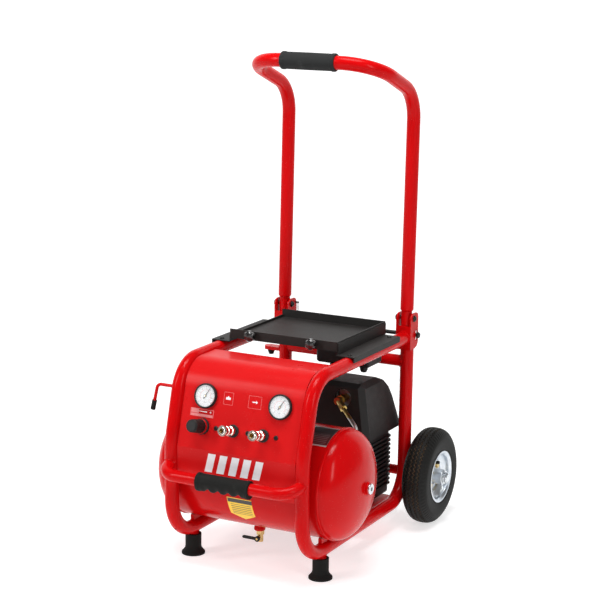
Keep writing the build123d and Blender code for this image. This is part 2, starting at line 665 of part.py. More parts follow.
SLEEVE_R = 11.0
COUPLER_R = 8.5
with BuildPart() as coupler_bodies:
    for x in COUPLER_XS:
        spot = on_face(x, PORT_Z)
        turned(
            spot - face_out * 11.9,
            face_out,
            [(3.6, 0), (9.5, 0), (9.5, 22), (10.5, 23), (10.5, 29), (COUPLER_R, 31), (COUPLER_R, 62.5),
             (7.6, 63.5), (5.2, 63.5), (5.2, 46), (3.6, 44)],
        )
save(coupler_bodies.part, "coupler_bodies")

for side, x in zip(("left", "right"), COUPLER_XS):
    spot = on_face(x, PORT_Z)
    with BuildPart() as coupler_sleeve:
        turned(
            spot + face_out * 28,
            face_out,
            [
                (COUPLER_R + RUNNING, 0), (SLEEVE_R - 1, 0), (SLEEVE_R - 1, 5), (SLEEVE_R - 2, 6),
                (SLEEVE_R - 2, 11), (SLEEVE_R, 12.5), (SLEEVE_R, 19), (SLEEVE_R - 0.8, 20.5),
                (COUPLER_R + RUNNING, 20.5),
            ],
        )
    save(coupler_sleeve.part, f"coupler_sleeve_{side}")

RISER_DEPTH = 36.0
with BuildPart() as air_manifold:
    back = Plane(origin=on_face(-5.5, PORT_Z) - face_out * 40, **FACE_TILT)
    with BuildSketch(back) as bar:
        RectangleRounded(211, 30, 3)
    extrude(bar.sketch, amount=28)
    for s in (-1, 1):
        gauge = on_face(GAUGE_XS[s], GAUGE_Z)
        foot = on_face(GAUGE_XS[s], PORT_Z) - face_out * RISER_DEPTH
        rod(6.0, foot, gauge - face_out * RISER_DEPTH + face_up * 8)
        rod(6.5, gauge - face_out * RISER_DEPTH, gauge - face_out * 27.1)
save(air_manifold.part, "air_manifold")

# ---------------------------------------------------------------- tray
KNOB_X, KNOB_Z = 74.0, 473.0
STUD_R = 3.0
LEFT_LIP = 5.0
with BuildPart() as tool_tray:
    block((-TRAY_HALF, TRAY_FRONT_Y, TRAY_FLOOR_Z), (TRAY_HALF, TRAY_REAR_Y, TRAY_FLOOR_Z + SHEET))
    block((-TRAY_HALF, TRAY_FRONT_Y, TRAY_FLOOR_Z), (TRAY_HALF, TRAY_FRONT_Y + SHEET, TRAY_TOP_Z))
    block((-TRAY_HALF, TRAY_REAR_Y - SHEET, TRAY_FLOOR_Z), (TRAY_HALF, TRAY_REAR_Y, TRAY_TOP_Z))
    block((TRAY_HALF - SHEET, TRAY_FRONT_Y, TRAY_FLOOR_Z), (TRAY_HALF, TRAY_REAR_Y, TRAY_TOP_Z))
    lip_top = TRAY_FLOOR_Z + SHEET + LEFT_LIP
    block((-TRAY_HALF, TRAY_FRONT_Y, TRAY_FLOOR_Z), (-TRAY_HALF + SHEET, TRAY_REAR_Y, lip_top))
    for s in (-1, 1):
        nut = (s * KNOB_X, TRAY_FRONT_Y + SHEET, KNOB_Z)
        hexagon(10.0, nut, (0, 1, 0), 6)
        rod(STUD_R + RUNNING, (nut[0], TRAY_FRONT_Y - 1, KNOB_Z), (nut[0], nut[1] + 7, KNOB_Z),
            Mode.SUBTRACT)
save(tool_tray.part, "tool_tray")

for side, s in SIDES:
    x = s * KNOB_X
    wall = TRAY_FRONT_Y - 0.3
    with BuildPart() as star_knob:
        rod(STUD_R, (x, wall, KNOB_Z), (x, TRAY_FRONT_Y + 12, KNOB_Z))
        rod(6.0, (x, wall - 8, KNOB_Z), (x, wall, KNOB_Z))
        turned((x, wall - 7, KNOB_Z), (0, -1, 0), [(0, 0), (9, 0), (12, 2), (12, 9), (9.5, 12.5), (0, 14)])
        for n in range(6):
            turn = 2 * pi * n / 6
            groove = (x + 14.2 * cos(turn), KNOB_Z + 14.2 * sin(turn))
            rod(4.0, (groove[0], wall - 5, groove[1]), (groove[0], wall - 25, groove[1]), Mode.SUBTRACT)
    save(star_knob.part, f"star_knob_{side}")

FLANGE_Z = TOP_Z + TUBE_D / 2 + 0.2
FLANGE_OUT_X = FRAME_X + TUBE_D / 2 + 0.4
FLANGE_FRONT_Y, FLANGE_REAR_Y = TRAY_FRONT_Y - 4, TRAY_REAR_Y - 14
with BuildPart() as tray_brackets:
    for s in (-1, 1):
        web_x = s * (TRAY_HALF + 0.2)
        web_top = TRAY_TOP_Z - 3 if s > 0 else lip_top - 1
        far = s * (FLANGE_OUT_X + SHEET)
        block(
            (min(web_x, web_x + s * SHEET), TRAY_FRONT_Y + 2, FLANGE_Z),
            (max(web_x, web_x + s * SHEET), TRAY_REAR_Y - 2, web_top),
        )
        block(
            (min(web_x, far), FLANGE_FRONT_Y, FLANGE_Z),
            (max(web_x, far), FLANGE_REAR_Y, FLANGE_Z + SHEET),
        )
        block(
            (min(s * FLANGE_OUT_X, far), FLANGE_FRONT_Y, FLANGE_Z - 10),
            (max(s * FLANGE_OUT_X, far), FLANGE_REAR_Y, FLANGE_Z + SHEET),
        )
        for y in TRAY_SCREW_YS:
            rod(SCREW_HOLE_R, (s * FRAME_X, y, FLANGE_Z - 1), (s * FRAME_X, y, FLANGE_Z + 5), Mode.SUBTRACT)
save(tray_brackets.part, "tray_brackets")

screw_spots = [(on_face(x, PORT_Z), face_out) for x in SCREW_XS] + [
    (Vector(s * FRAME_X, y, FLANGE_Z + SHEET), Vector(0, 0, 1)) for s in (-1, 1) for y in TRAY_SCREW_YS
]
with BuildPart() as button_screws:
    for seat, way in screw_spots:
        turned(
            seat + way * 0.1,
            way,
            [(0, -5.4), (2.4, -5.4), (2.4, 0), (5, 0), (5, 1), (3.6, 2.7), (1.8, 2.9), (1.8, 1.5), (0, 1.5)],
        )
save(button_screws.part, "button_screws")

# ---------------------------------------------------------------- switch box
BOX_LOW, BOX_HIGH = (-4.0, 78.5, 388.0), (126.0, 148.5, TRAY_FLOOR_Z - 0.2)
BOX_WALL = 3.0
GLAND_XS = (24.0, 98.0)
SWITCH_Y, SWITCH_Z = 113.0, 424.0
SWITCH_SHAFT_R = 4.0
with BuildPart() as switch_box:
    block(BOX_LOW, BOX_HIGH)
    upright = switch_box.edges().filter_by(Axis.Z)
    fillet(upright, 5.0)
    lower = switch_box.faces().sort_by(Axis.Z)[0].edges()
    chamfer(lower, 4.0)
    block([v + BOX_WALL for v in BOX_LOW], [v - BOX_WALL for v in BOX_HIGH], Mode.SUBTRACT)
    rod(SWITCH_SHAFT_R + RUNNING, (BOX_LOW[0] - 1, SWITCH_Y, SWITCH_Z),
        (BOX_LOW[0] + 6, SWITCH_Y, SWITCH_Z), Mode.SUBTRACT)
    for x in GLAND_XS:
        rod(8.0, (x, SWITCH_Y, BOX_LOW[2] - 3), (x, SWITCH_Y, BOX_LOW[2] + 2))
        turned(
            (x, SWITCH_Y, BOX_LOW[2] - 3),
            (0, 0, -1),
            [(0, 0), (9.5, 0), (9.5, 6), (8.6, 6), (8.6, 10), (6, 15), (0, 15)],
        )
        rod(4.0, (x, SWITCH_Y, BOX_LOW[2] - 19), (x, SWITCH_Y, BOX_LOW[2] + 6), Mode.SUBTRACT)
save(switch_box.part, "switch_box")

with BuildPart() as switch_knob:
    hub = (BOX_LOW[0] - 0.4, SWITCH_Y, SWITCH_Z)
    turned(hub, (-1, 0, 0), [(0, 0), (17, 0), (16, 7), (0, 7)])
    block((hub[0] - 18, SWITCH_Y - 4, SWITCH_Z - 14), (hub[0] - 6, SWITCH_Y + 4, SWITCH_Z + 14))
    rod(SWITCH_SHAFT_R, hub, (hub[0] + 5, SWITCH_Y, SWITCH_Z))
save(switch_knob.part, "switch_knob")

# ---------------------------------------------------------------- tank fittings
VALVE_X = 145.0
PORT_ANGLE = radians(20)
port_out = Vector(0, cos(PORT_ANGLE), sin(PORT_ANGLE))
port = Vector(VALVE_X, TANK_Y, TANK_Z) + port_out * (TANK_R + 0.2)
inlet = port + port_out * 22
inlet_top = inlet + Vector(0, 0, 22)
with BuildPart() as check_valve:
    rod(9.0, port, port + port_out * 30)
    hexagon(21.0, port + port_out * 5, port_out, 10)
    rod(7.0, inlet, inlet_top)
    hexagon(15.0, inlet_top - Vector(0, 0, 7), (0, 0, 1), 7)
save(check_valve.part, "check_valve")

HEAD_FRONT_Y = 72.0
PIPE_R = 4.5
elbow = Vector(76, 33, 319)
pipe_turn = inlet_top + Vector(0, 0, 14)
with BuildPart() as delivery_pipe:
    down = (pipe_turn - elbow).normalized()
    swept_tube([elbow, pipe_turn, inlet_top + Vector(0, 0, 0.1)], [12.0], PIPE_R)
    rod(8.0, elbow - Vector(0, 7, 0), (elbow.X, HEAD_FRONT_Y - 0.1, elbow.Z))
    hexagon(19.0, elbow + Vector(0, 10, 0), (0, 1, 0), 9)
    rod(6.5, elbow, elbow + down * 18)
    hexagon(15.0, elbow + down * 17, down, 11)
save(delivery_pipe.part, "delivery_pipe")

SAFETY_X = 60.0
SAFETY_ANGLE = radians(62)
safe_out = Vector(0, cos(SAFETY_ANGLE), sin(SAFETY_ANGLE))
safe_port = Vector(SAFETY_X, TANK_Y, TANK_Z) + safe_out * (TANK_R + 0.2)
PULL_R = 2.0
with BuildPart() as safety_valve:
    turned(safe_port, safe_out,
           [(0, 0), (8, 0), (8, 8), (6.5, 9), (6.5, 22), (8, 24), (8, 32), (5, 36), (0, 36)])
    hexagon(17.0, safe_port + safe_out * 3, safe_out, 6)
    rod(PULL_R + RUNNING, safe_port + safe_out * 12, safe_port + safe_out * 37, Mode.SUBTRACT)
save(safety_valve.part, "safety_valve")

with BuildPart() as safety_ring:
    rod(PULL_R, safe_port + safe_out * 13, safe_port + safe_out * 45)
    with Locations(Plane(origin=safe_port + safe_out * 53, x_dir=safe_out, z_dir=(1, 0, 0)).location):
        Torus(9.0, 1.3)
save(safety_ring.part, "safety_ring")

# ---------------------------------------------------------------- pump
HOOD_LOW_Z, HOOD_TOP_Z = 226.0, 355.0
HOOD_FRONT_Y, HOOD_REAR_Y = 55.0, 226.0
HOOD_RIGHT_X, HOOD_LEFT_X = 139.0, -82.0
HOOD_WALL = 3.0
HOOD_HOLE_R = 20.0
with BuildPart() as pump_hood:
    side_profile(
        HOOD_LEFT_X,
        [
            (HOOD_FRONT_Y, HOOD_LOW_Z), (HOOD_FRONT_Y, HOOD_TOP_Z - 10), (HOOD_FRONT_Y + 8, HOOD_TOP_Z),
            (138, HOOD_TOP_Z), (160, 346), (185, 325), (200, 300), (HOOD_REAR_Y, HOOD_LOW_Z + 6),
            (HOOD_REAR_Y, HOOD_LOW_Z),
        ],
        HOOD_RIGHT_X - HOOD_LEFT_X,
    )
    with BuildSketch(Plane.XZ.offset(-HOOD_REAR_Y - 1)) as draft:
        with BuildLine():
            Polyline(
                (HOOD_RIGHT_X, HOOD_LOW_Z), (124, 343), (114, HOOD_TOP_Z), (-57, HOOD_TOP_Z), (-67, 343),
                (HOOD_LEFT_X, HOOD_LOW_Z), close=True,
            )
        make_face()
    extrude(draft.sketch, amount=HOOD_REAR_Y - HOOD_FRONT_Y + 2, mode=Mode.INTERSECT)
    front = pump_hood.faces().sort_by(Axis.Y)[0]
    front_sides = front.edges().filter_by(lambda e: abs(e.tangent_at(0).Z) > 0.9)
    chamfer(front_sides, 12.0)
    floor = pump_hood.faces().sort_by(Axis.Z)[0]
    offset(amount=-HOOD_WALL, openings=floor)
    rod(HOOD_HOLE_R, (elbow.X, HOOD_FRONT_Y - 5, elbow.Z + 2), (elbow.X, HOOD_FRONT_Y + 9, elbow.Z + 2),
        Mode.SUBTRACT)
save(pump_hood.part, "pump_hood")

MOTOR_LEFT_X, MOTOR_RIGHT_X = -128.0, 20.0
CASE_LOW = (MOTOR_RIGHT_X + 0.2, PUMP_Y - 38, 86.0)
CASE_HIGH = (92.0, PUMP_Y + 38, 196.0)

GRILLE_LOW_Z, GRILLE_TOP_Z = 80.0, 224.0
GRILLE_RIGHT_X, GRILLE_LEFT_X = 131.0, 40.0
GRILLE_FRONT_Y, GRILLE_REAR_Y = 60.0, 190.0
FIN_PITCH, FIN_T, FIN_PROUD = 10.1, 4.6, 4.0
FIN_COUNT = 12
FIN_LOW_Z = 97.0


def cowl_outline(grow):
    """The cowl's plan outline, with its two outer corners cut, grown outwards."""
    x0, x1 = GRILLE_LEFT_X, GRILLE_RIGHT_X + grow
    y0, y1 = GRILLE_FRONT_Y - grow, GRILLE_REAR_Y + grow
    with BuildLine() as outline:
        Polyline((x0, y0), (x1 - 12, y0), (x1, y0 + 12), (x1, y1 - 8), (x1 - 8, y1), (x0, y1), close=True)
    make_face(outline.line)


with BuildPart() as pump_grille:
    for low, tall, grow in [(GRILLE_LOW_Z, GRILLE_TOP_Z - GRILLE_LOW_Z, 0.0)] + [
        (FIN_LOW_Z + n * FIN_PITCH, FIN_T, FIN_PROUD) for n in range(FIN_COUNT)
    ]:
        with BuildSketch(Plane.XY.offset(low)) as plan:
            cowl_outline(grow)
        extrude(plan.sketch, amount=tall)
    foot_edges = pump_grille.faces().sort_by(Axis.Z)[0].edges().filter_by(Axis.X).sort_by(Axis.Y)
    chamfer(foot_edges[-1], 12.0)
    block(
        (GRILLE_LEFT_X - 1, GRILLE_FRONT_Y + 3, GRILLE_LOW_Z + 3),
        (GRILLE_RIGHT_X - 3, GRILLE_REAR_Y - 12, GRILLE_TOP_Z + 1),
        Mode.SUBTRACT,
    )
    block(
        (GRILLE_LEFT_X - 1, CASE_LOW[1], GRILLE_LOW_Z - 1),
        (CASE_HIGH[0] + 4, CASE_HIGH[1], GRILLE_LOW_Z + 4),
        Mode.SUBTRACT,
    )
    for n in range(FIN_COUNT - 1):
        low = FIN_LOW_Z + FIN_T + n * FIN_PITCH
        block(
            (GRILLE_RIGHT_X - 5, GRILLE_FRONT_Y + 18, low),
            (GRILLE_RIGHT_X + 5, GRILLE_REAR_Y - 20, low + FIN_PITCH - FIN_T),
            Mode.SUBTRACT,
        )
save(pump_grille.part, "pump_grille")

SHAFT_R = 8.0
MOTOR_R = 68.0
ROTOR_R = 36.0
ROTOR_LENGTH = 78.0
MOTOR_FOOT_Y = 48.0            # each foot's distance from the shaft line
MOTOR_FOOT_Z = 76.0
with BuildPart() as motor_housing:
    turned(
        (MOTOR_LEFT_X, PUMP_Y, PUMP_Z),
        (1, 0, 0),
        [
            (SHAFT_R + RUNNING, 0), (22, 0), (24, 6), (MOTOR_R - 8, 10), (MOTOR_R, 20),
            (MOTOR_R, MOTOR_RIGHT_X - MOTOR_LEFT_X), (MOTOR_R - 4, MOTOR_RIGHT_X - MOTOR_LEFT_X),
            (MOTOR_R - 4, 24), (22, 16), (SHAFT_R + RUNNING, 16),
        ],
    )
    for n in range(12):
        turn = 2 * pi * n / 12
        out = Vector(0, cos(turn), sin(turn))
        base = Vector(MOTOR_LEFT_X + 30, PUMP_Y, PUMP_Z)
        rod(2.5, base + out * MOTOR_R, base + out * MOTOR_R + Vector(110, 0, 0))
    for s in (-1, 1):
        foot_y = PUMP_Y + s * MOTOR_FOOT_Y
        block((MOTOR_LEFT_X + 40, foot_y - 9, MOTOR_FOOT_Z), (MOTOR_LEFT_X + 70, foot_y + 9, 106))
    rod(MOTOR_R - 4, (MOTOR_LEFT_X + 25, PUMP_Y, PUMP_Z), (MOTOR_RIGHT_X - 1, PUMP_Y, PUMP_Z), Mode.SUBTRACT)
    stator_end = ROTOR_LENGTH + 2
    turned(
        (MOTOR_LEFT_X + 45, PUMP_Y, PUMP_Z),
        (1, 0, 0),
        [(ROTOR_R + 0.6, 0), (MOTOR_R - 3, 0), (MOTOR_R - 3, stator_end), (ROTOR_R + 0.6, stator_end)],
    )
save(motor_housing.part, "motor_housing")

CRANK_X = 62.0
FAN_X = 104.0
with BuildPart() as rotor_shaft:
    rod(SHAFT_R, (MOTOR_LEFT_X + 1, PUMP_Y, PUMP_Z), (FAN_X + 16, PUMP_Y, PUMP_Z))
    core_x = MOTOR_LEFT_X + 46
    rod(ROTOR_R, (core_x, PUMP_Y, PUMP_Z), (core_x + ROTOR_LENGTH, PUMP_Y, PUMP_Z))
    rod(26.0, (CRANK_X - 22, PUMP_Y, PUMP_Z), (CRANK_X - 12, PUMP_Y, PUMP_Z))
save(rotor_shaft.part, "rotor_shaft")

FAN_R = 51.0
with BuildPart() as cooling_fan:
    turned((FAN_X, PUMP_Y, PUMP_Z), (1, 0, 0), [(SHAFT_R, 0), (18, 0), (18, 18), (SHAFT_R, 18)])
    rod(FAN_R, (FAN_X, PUMP_Y, PUMP_Z), (FAN_X + 2, PUMP_Y, PUMP_Z))
    for n in range(9):
        turn = 2 * pi * n / 9
        out = Vector(0, cos(turn), sin(turn))
        with BuildSketch(Plane(origin=(FAN_X + 1, PUMP_Y, PUMP_Z), x_dir=out, z_dir=(1, 0, 0))) as blade:
            with Locations(((FAN_R + 17) / 2, 0)):
                Rectangle(FAN_R - 19, 2.5)
        extrude(blade.sketch, amount=16)
    rod(SHAFT_R, (FAN_X - 1, PUMP_Y, PUMP_Z), (FAN_X + 20, PUMP_Y, PUMP_Z), Mode.SUBTRACT)
save(cooling_fan.part, "cooling_fan")

BORE_R = 26.0
CYLINDER_TOP_Z, HEAD_TOP_Z = 284.0, 338.0
with BuildPart() as crankcase:
    block(CASE_LOW, CASE_HIGH)
    upright = crankcase.edges().filter_by(Axis.Z)
    fillet(upright, 8.0)
    block([v + 5 for v in CASE_LOW], [v - 5 for v in CASE_HIGH], Mode.SUBTRACT)
    rod(38.0, (CRANK_X, PUMP_Y, CASE_HIGH[2] - 2), (CRANK_X, PUMP_Y, CYLINDER_TOP_Z))
    for n in range(7):
        z = CASE_HIGH[2] + 8 + n * 11
        rod(41.0, (CRANK_X, PUMP_Y, z), (CRANK_X, PUMP_Y, z + 3))
    rod(BORE_R, (CRANK_X, PUMP_Y, CASE_HIGH[2] - 8), (CRANK_X, PUMP_Y, CYLINDER_TOP_Z + 1), Mode.SUBTRACT)
    rod(SHAFT_R + RUNNING, (CASE_LOW[0] - 1, PUMP_Y, PUMP_Z), (CASE_HIGH[0] + 1, PUMP_Y, PUMP_Z),
        Mode.SUBTRACT)
save(crankcase.part, "crankcase")

with BuildPart() as cylinder_head:
    head_rear = PUMP_Y + 40
    block((CRANK_X - 36, HEAD_FRONT_Y, CYLINDER_TOP_Z + 0.2), (CRANK_X + 36, head_rear, 308))
    for n in range(9):
        x = CRANK_X - 36 + n * 8.5
        block((x, HEAD_FRONT_Y, 307), (x + 4, head_rear, HEAD_TOP_Z))
    block((elbow.X - 13, HEAD_FRONT_Y, 300), (elbow.X + 13, HEAD_FRONT_Y + 30, HEAD_TOP_Z - 4))
save(cylinder_head.part, "cylinder_head")

with BuildPart() as piston:
    rod(BORE_R - 0.4, (CRANK_X, PUMP_Y, 240), (CRANK_X, PUMP_Y, 268))
    block((CRANK_X - 5, PUMP_Y - 9, 178), (CRANK_X + 5, PUMP_Y + 9, 244))
    rod(17.0, (CRANK_X - 5, PUMP_Y, 172), (CRANK_X + 5, PUMP_Y, 172))
    rod(SHAFT_R + 1.0, (CRANK_X - 6, PUMP_Y, PUMP_Z), (CRANK_X + 6, PUMP_Y, PUMP_Z), Mode.SUBTRACT)
save(piston.part, "piston")

MOUNT_XS = (MOTOR_LEFT_X + 55, CRANK_X)
with BuildPart() as rubber_mounts:
    for s in (-1, 1):
        for x, spread, top in ((MOUNT_XS[0], MOTOR_FOOT_Y, MOTOR_FOOT_Z), (MOUNT_XS[1], 24, CASE_LOW[2])):
            y = PUMP_Y + s * spread
            rod(11.0, (x, y, PLATE_LOW_Z + PLATE_T), (x, y, top))
save(rubber_mounts.part, "rubber_mounts")

# ---------------------------------------------------------------- wheels
HUB_R = 17.0
HUB_HALF = 36.0
TYRE_BEAD_R = 50.0
for side, s in SIDES:
    centre = Vector(s * WHEEL_X, AXLE_Y, AXLE_Z)
    with BuildPart() as tyre:
        half, radius = TYRE_W / 2, TYRE_D / 2
        turned(
            centre - Vector(half, 0, 0),
            (1, 0, 0),
            [
                (TYRE_BEAD_R + 4, 6), (TYRE_BEAD_R + 6, 3.2), (61, 3.2), (68, 1), (84, 0), (96, 4), (104, 10),
                (radius - 1, 18), (radius, half), (radius - 1, TYRE_W - 18), (104, TYRE_W - 10),
                (96, TYRE_W - 4), (84, TYRE_W), (68, TYRE_W - 1), (61, TYRE_W - 3.2),
                (TYRE_BEAD_R + 6, TYRE_W - 3.2),
                (TYRE_BEAD_R + 4, TYRE_W - 6), (TYRE_BEAD_R + 4, TYRE_W - 12), (78, TYRE_W - 8),
                (94, TYRE_W - 16), (98, half), (94, 16), (78, 8), (TYRE_BEAD_R + 4, 12),
            ],
        )
    save(tyre.part, f"tyre_{side}")
    with BuildPart() as rim:
        turned(
            centre - Vector(half, 0, 0),
            (1, 0, 0),
            [
                (TYRE_BEAD_R + 8, 1.5), (TYRE_BEAD_R + 8, 3), (TYRE_BEAD_R + 5.8, 3), (TYRE_BEAD_R + 3.8, 6),
                (TYRE_BEAD_R + 3.8, 14), (42, 20), (42, TYRE_W - 20), (TYRE_BEAD_R + 3.8, TYRE_W - 14),
                (TYRE_BEAD_R + 3.8, TYRE_W - 6), (TYRE_BEAD_R + 5.8, TYRE_W - 3),
                (TYRE_BEAD_R + 8, TYRE_W - 3), (TYRE_BEAD_R + 8, TYRE_W - 1.5),
                (TYRE_BEAD_R + 4, TYRE_W - 1.5), (TYRE_BEAD_R + 1.8, TYRE_W - 5),
                (TYRE_BEAD_R + 1.8, TYRE_W - 13), (39, TYRE_W - 20), (39, half + 3), (30, half + 9),
                (HUB_R + 6, half + 9), (HUB_R, half + 3), (HUB_R, half + HUB_HALF),
                (AXLE_R + RUNNING, half + HUB_HALF), (AXLE_R + RUNNING, half - HUB_HALF),
                (HUB_R, half - HUB_HALF), (HUB_R, half - 3), (HUB_R + 6, half - 9), (30, half - 9),
                (39, half - 3), (39, 20), (TYRE_BEAD_R + 1.8, 13), (TYRE_BEAD_R + 1.8, 5),
                (TYRE_BEAD_R + 4, 1.5),
            ],
        )
    save(rim.part, f"rim_{side}")

AXLE_END_X = WHEEL_X + HUB_HALF + 6
with BuildPart() as axle:
    rod(AXLE_R, (-AXLE_END_X, AXLE_Y, AXLE_Z), (AXLE_END_X, AXLE_Y, AXLE_Z))
save(axle.part, "axle")

with BuildPart() as axle_nuts:
    for s in (-1, 1):
        start = s * (WHEEL_X + HUB_HALF + 0.4)
        inner = s * (AXLE_TUBE_END_X + 0.4)
        turned((start, AXLE_Y, AXLE_Z), (s, 0, 0), [(AXLE_R, 0), (15, 0), (15, 2), (AXLE_R, 2)])
        turned((start + s * 2, AXLE_Y, AXLE_Z), (s, 0, 0),
               [(AXLE_R, 0), (12, 0), (12, 5), (9, 8), (0, 9), (0, 3.7), (AXLE_R, 3.7)])
        turned((inner, AXLE_Y, AXLE_Z), (s, 0, 0),
               [(AXLE_R, 0), (13, 0), (13, 7.7), (AXLE_R, 7.7)])
save(axle_nuts.part, "axle_nuts")
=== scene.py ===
"""Looks of a wheeled air compressor, laid out as an add-on and run as a script.

Every length is in metres in the machine's own frame: +Z up, the origin on the ground,
the control panel towards -Y and the wheel axle along X.
"""

import json
import math

import bmesh
import bpy
import numpy as np
from bpy.props import FloatProperty, FloatVectorProperty, IntProperty, PointerProperty
from mathutils import Matrix, Vector


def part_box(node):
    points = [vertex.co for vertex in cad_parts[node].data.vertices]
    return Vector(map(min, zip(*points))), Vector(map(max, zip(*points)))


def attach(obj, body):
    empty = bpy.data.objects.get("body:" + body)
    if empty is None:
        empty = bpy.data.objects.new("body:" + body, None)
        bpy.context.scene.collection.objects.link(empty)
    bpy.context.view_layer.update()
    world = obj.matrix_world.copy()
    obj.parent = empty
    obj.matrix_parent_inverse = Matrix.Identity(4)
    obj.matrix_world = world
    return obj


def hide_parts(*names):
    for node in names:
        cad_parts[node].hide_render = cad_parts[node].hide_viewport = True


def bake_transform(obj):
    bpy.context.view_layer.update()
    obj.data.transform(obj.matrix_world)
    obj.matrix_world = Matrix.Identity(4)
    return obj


bl_info = {
    "name": "Workshop air compressor",
    "version": (1, 0, 0),
    "blender": (4, 5, 0),
    "location": "3D View > Sidebar > Compressor",
    "description": "Builds the finishes, small pieces and studio of a wheeled air compressor",
    "category": "Object",
}

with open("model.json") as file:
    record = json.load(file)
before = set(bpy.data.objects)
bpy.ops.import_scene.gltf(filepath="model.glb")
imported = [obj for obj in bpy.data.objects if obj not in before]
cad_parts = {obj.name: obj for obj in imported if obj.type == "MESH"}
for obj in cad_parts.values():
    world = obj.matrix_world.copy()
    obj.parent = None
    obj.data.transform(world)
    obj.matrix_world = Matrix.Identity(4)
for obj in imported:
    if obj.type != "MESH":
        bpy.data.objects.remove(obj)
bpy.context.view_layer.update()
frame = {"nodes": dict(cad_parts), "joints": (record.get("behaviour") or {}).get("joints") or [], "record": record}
NODES = frame["nodes"]
JOINTS = {joint["name"]: joint for joint in frame["joints"]}
MM = 0.001
SIDES = (("right", 1), ("left", -1))
UP = np.array((0.0, 0.0, 1.0))
RIGHT = np.array((1.0, 0.0, 0.0))


def node_box(name):
    """Lowest and highest corner of a frame node, as arrays."""
    low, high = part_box(name)
    return np.array(low), np.array(high)


def middle(name):
    """Centre of a frame node's box."""
    low, high = node_box(name)
    return (low + high) / 2


def unit(vector):
    """The vector, or every vector of an array, at length one."""
    vector = np.asarray(vector, float)
    return vector / np.linalg.norm(vector, axis=-1, keepdims=True)


def reach(name, way):
    """How far a frame node reaches in a direction, as a distance from the origin."""
    mesh = NODES[name].data
    points = np.empty(len(mesh.vertices) * 3, np.float32)
    mesh.vertices.foreach_get("co", points)
    return float((points.reshape(-1, 3) @ way).max())


def joint_place(name):
    """Position and unit axis of a joint."""
    joint = JOINTS[name]
    return np.array(joint["pos_m"], float), unit(joint["axis"])


LEG_LOW, LEG_HIGH = node_box("side_frame_right")
TUBE_R = (LEG_HIGH[0] - LEG_LOW[0]) / 2
FRAME_X = (LEG_HIGH[0] + LEG_LOW[0]) / 2
TANK_LOW, TANK_HIGH = node_box("tank_shell")
TANK_R = (TANK_HIGH[2] - TANK_LOW[2]) / 2
TANK_AXIS = (TANK_LOW + TANK_HIGH) / 2
REGULATOR_SPOT, FACE_OUT = joint_place("regulator_turn")
FACE_UP = unit(np.cross(FACE_OUT, RIGHT))
FACE_UP = FACE_UP if FACE_UP[2] > 0 else -FACE_UP


# ---------------------------------------------------------------- surfaces
def placed(name, data):
    """A new object in the scene."""
    thing = bpy.data.objects.new(name, data)
    bpy.context.scene.collection.objects.link(thing)
    return thing


def finish_mesh(name, mesh, sharp=35.0):
    """Merges repeated points, turns the faces outwards, shades smooth up to an angle."""
    work = bmesh.new()
    work.from_mesh(mesh)
    bmesh.ops.remove_doubles(work, verts=work.verts, dist=1e-6)
    bmesh.ops.dissolve_degenerate(work, edges=work.edges, dist=1e-7)
    bmesh.ops.recalc_face_normals(work, faces=work.faces)
    work.to_mesh(mesh)
    work.free()
    mesh.shade_smooth()
    mesh.set_sharp_from_angle(angle=math.radians(sharp))
    return placed(name, mesh)


def surface(name, points, close_rows=False, close_columns=True, marks=None, sharp=35.0):
    """One piece from one or more grids of points (rows, columns, 3), one quad per cell.

    A closed side joins its last line to its first. marks gives one number per point,
    kept as the attribute "mark". The map "unwrap" runs 0 to 1 along columns and rows.
    """
    grids = points if isinstance(points, list) else [points]
    corners, quads, unwrap, start = [], [], [], 0
    for grid in grids:
        rows, columns = grid.shape[:2]
        r, c = np.indices((rows - (not close_rows), columns - (not close_columns)))
        r1, c1 = (r + 1) % rows, (c + 1) % columns
        quad = [r * columns + c, r * columns + c1, r1 * columns + c1, r1 * columns + c]
        across = np.stack([c, c + 1, c + 1, c], -1) / columns
        along = np.stack([r, r, r + 1, r + 1], -1) / max(rows - 1, 1)
        unwrap.append(np.stack([across, along], -1).reshape(-1, 2))
        corners.append(grid.reshape(-1, 3))
        quads.append(np.stack(quad, -1).reshape(-1, 4) + start)
        start += rows * columns
    mesh = bpy.data.meshes.new(name)
    mesh.from_pydata(np.concatenate(corners).tolist(), [], np.concatenate(quads).tolist())
    layer = mesh.uv_layers.new(name="unwrap")
    layer.data.foreach_set("uv", np.concatenate(unwrap).astype(np.float32).ravel())
    if marks is not None:
        attribute = mesh.attributes.new("mark", "FLOAT", "POINT")
        attribute.data.foreach_set("value", np.asarray(marks, np.float32).ravel())
    return finish_mesh(name, mesh, sharp)


def prisms(name, outlines, way, depth):
    """Flat closed plates: each outline (corners, 3) and its copy moved depth along way."""
    corners, faces, start = [], [], 0
    for outline in outlines:
        count = len(outline)
        corners += [outline, outline + np.asarray(way) * depth]
        i = np.arange(count)
        sides = np.stack([i, (i + 1) % count, (i + 1) % count + count, i + count], -1) + start
        faces += [(i + start).tolist(), (i[::-1] + start + count).tolist()] + sides.tolist()
        start += 2 * count
    mesh = bpy.data.meshes.new(name)
    mesh.from_pydata(np.concatenate(corners).tolist(), [], faces)
    return finish_mesh(name, mesh)


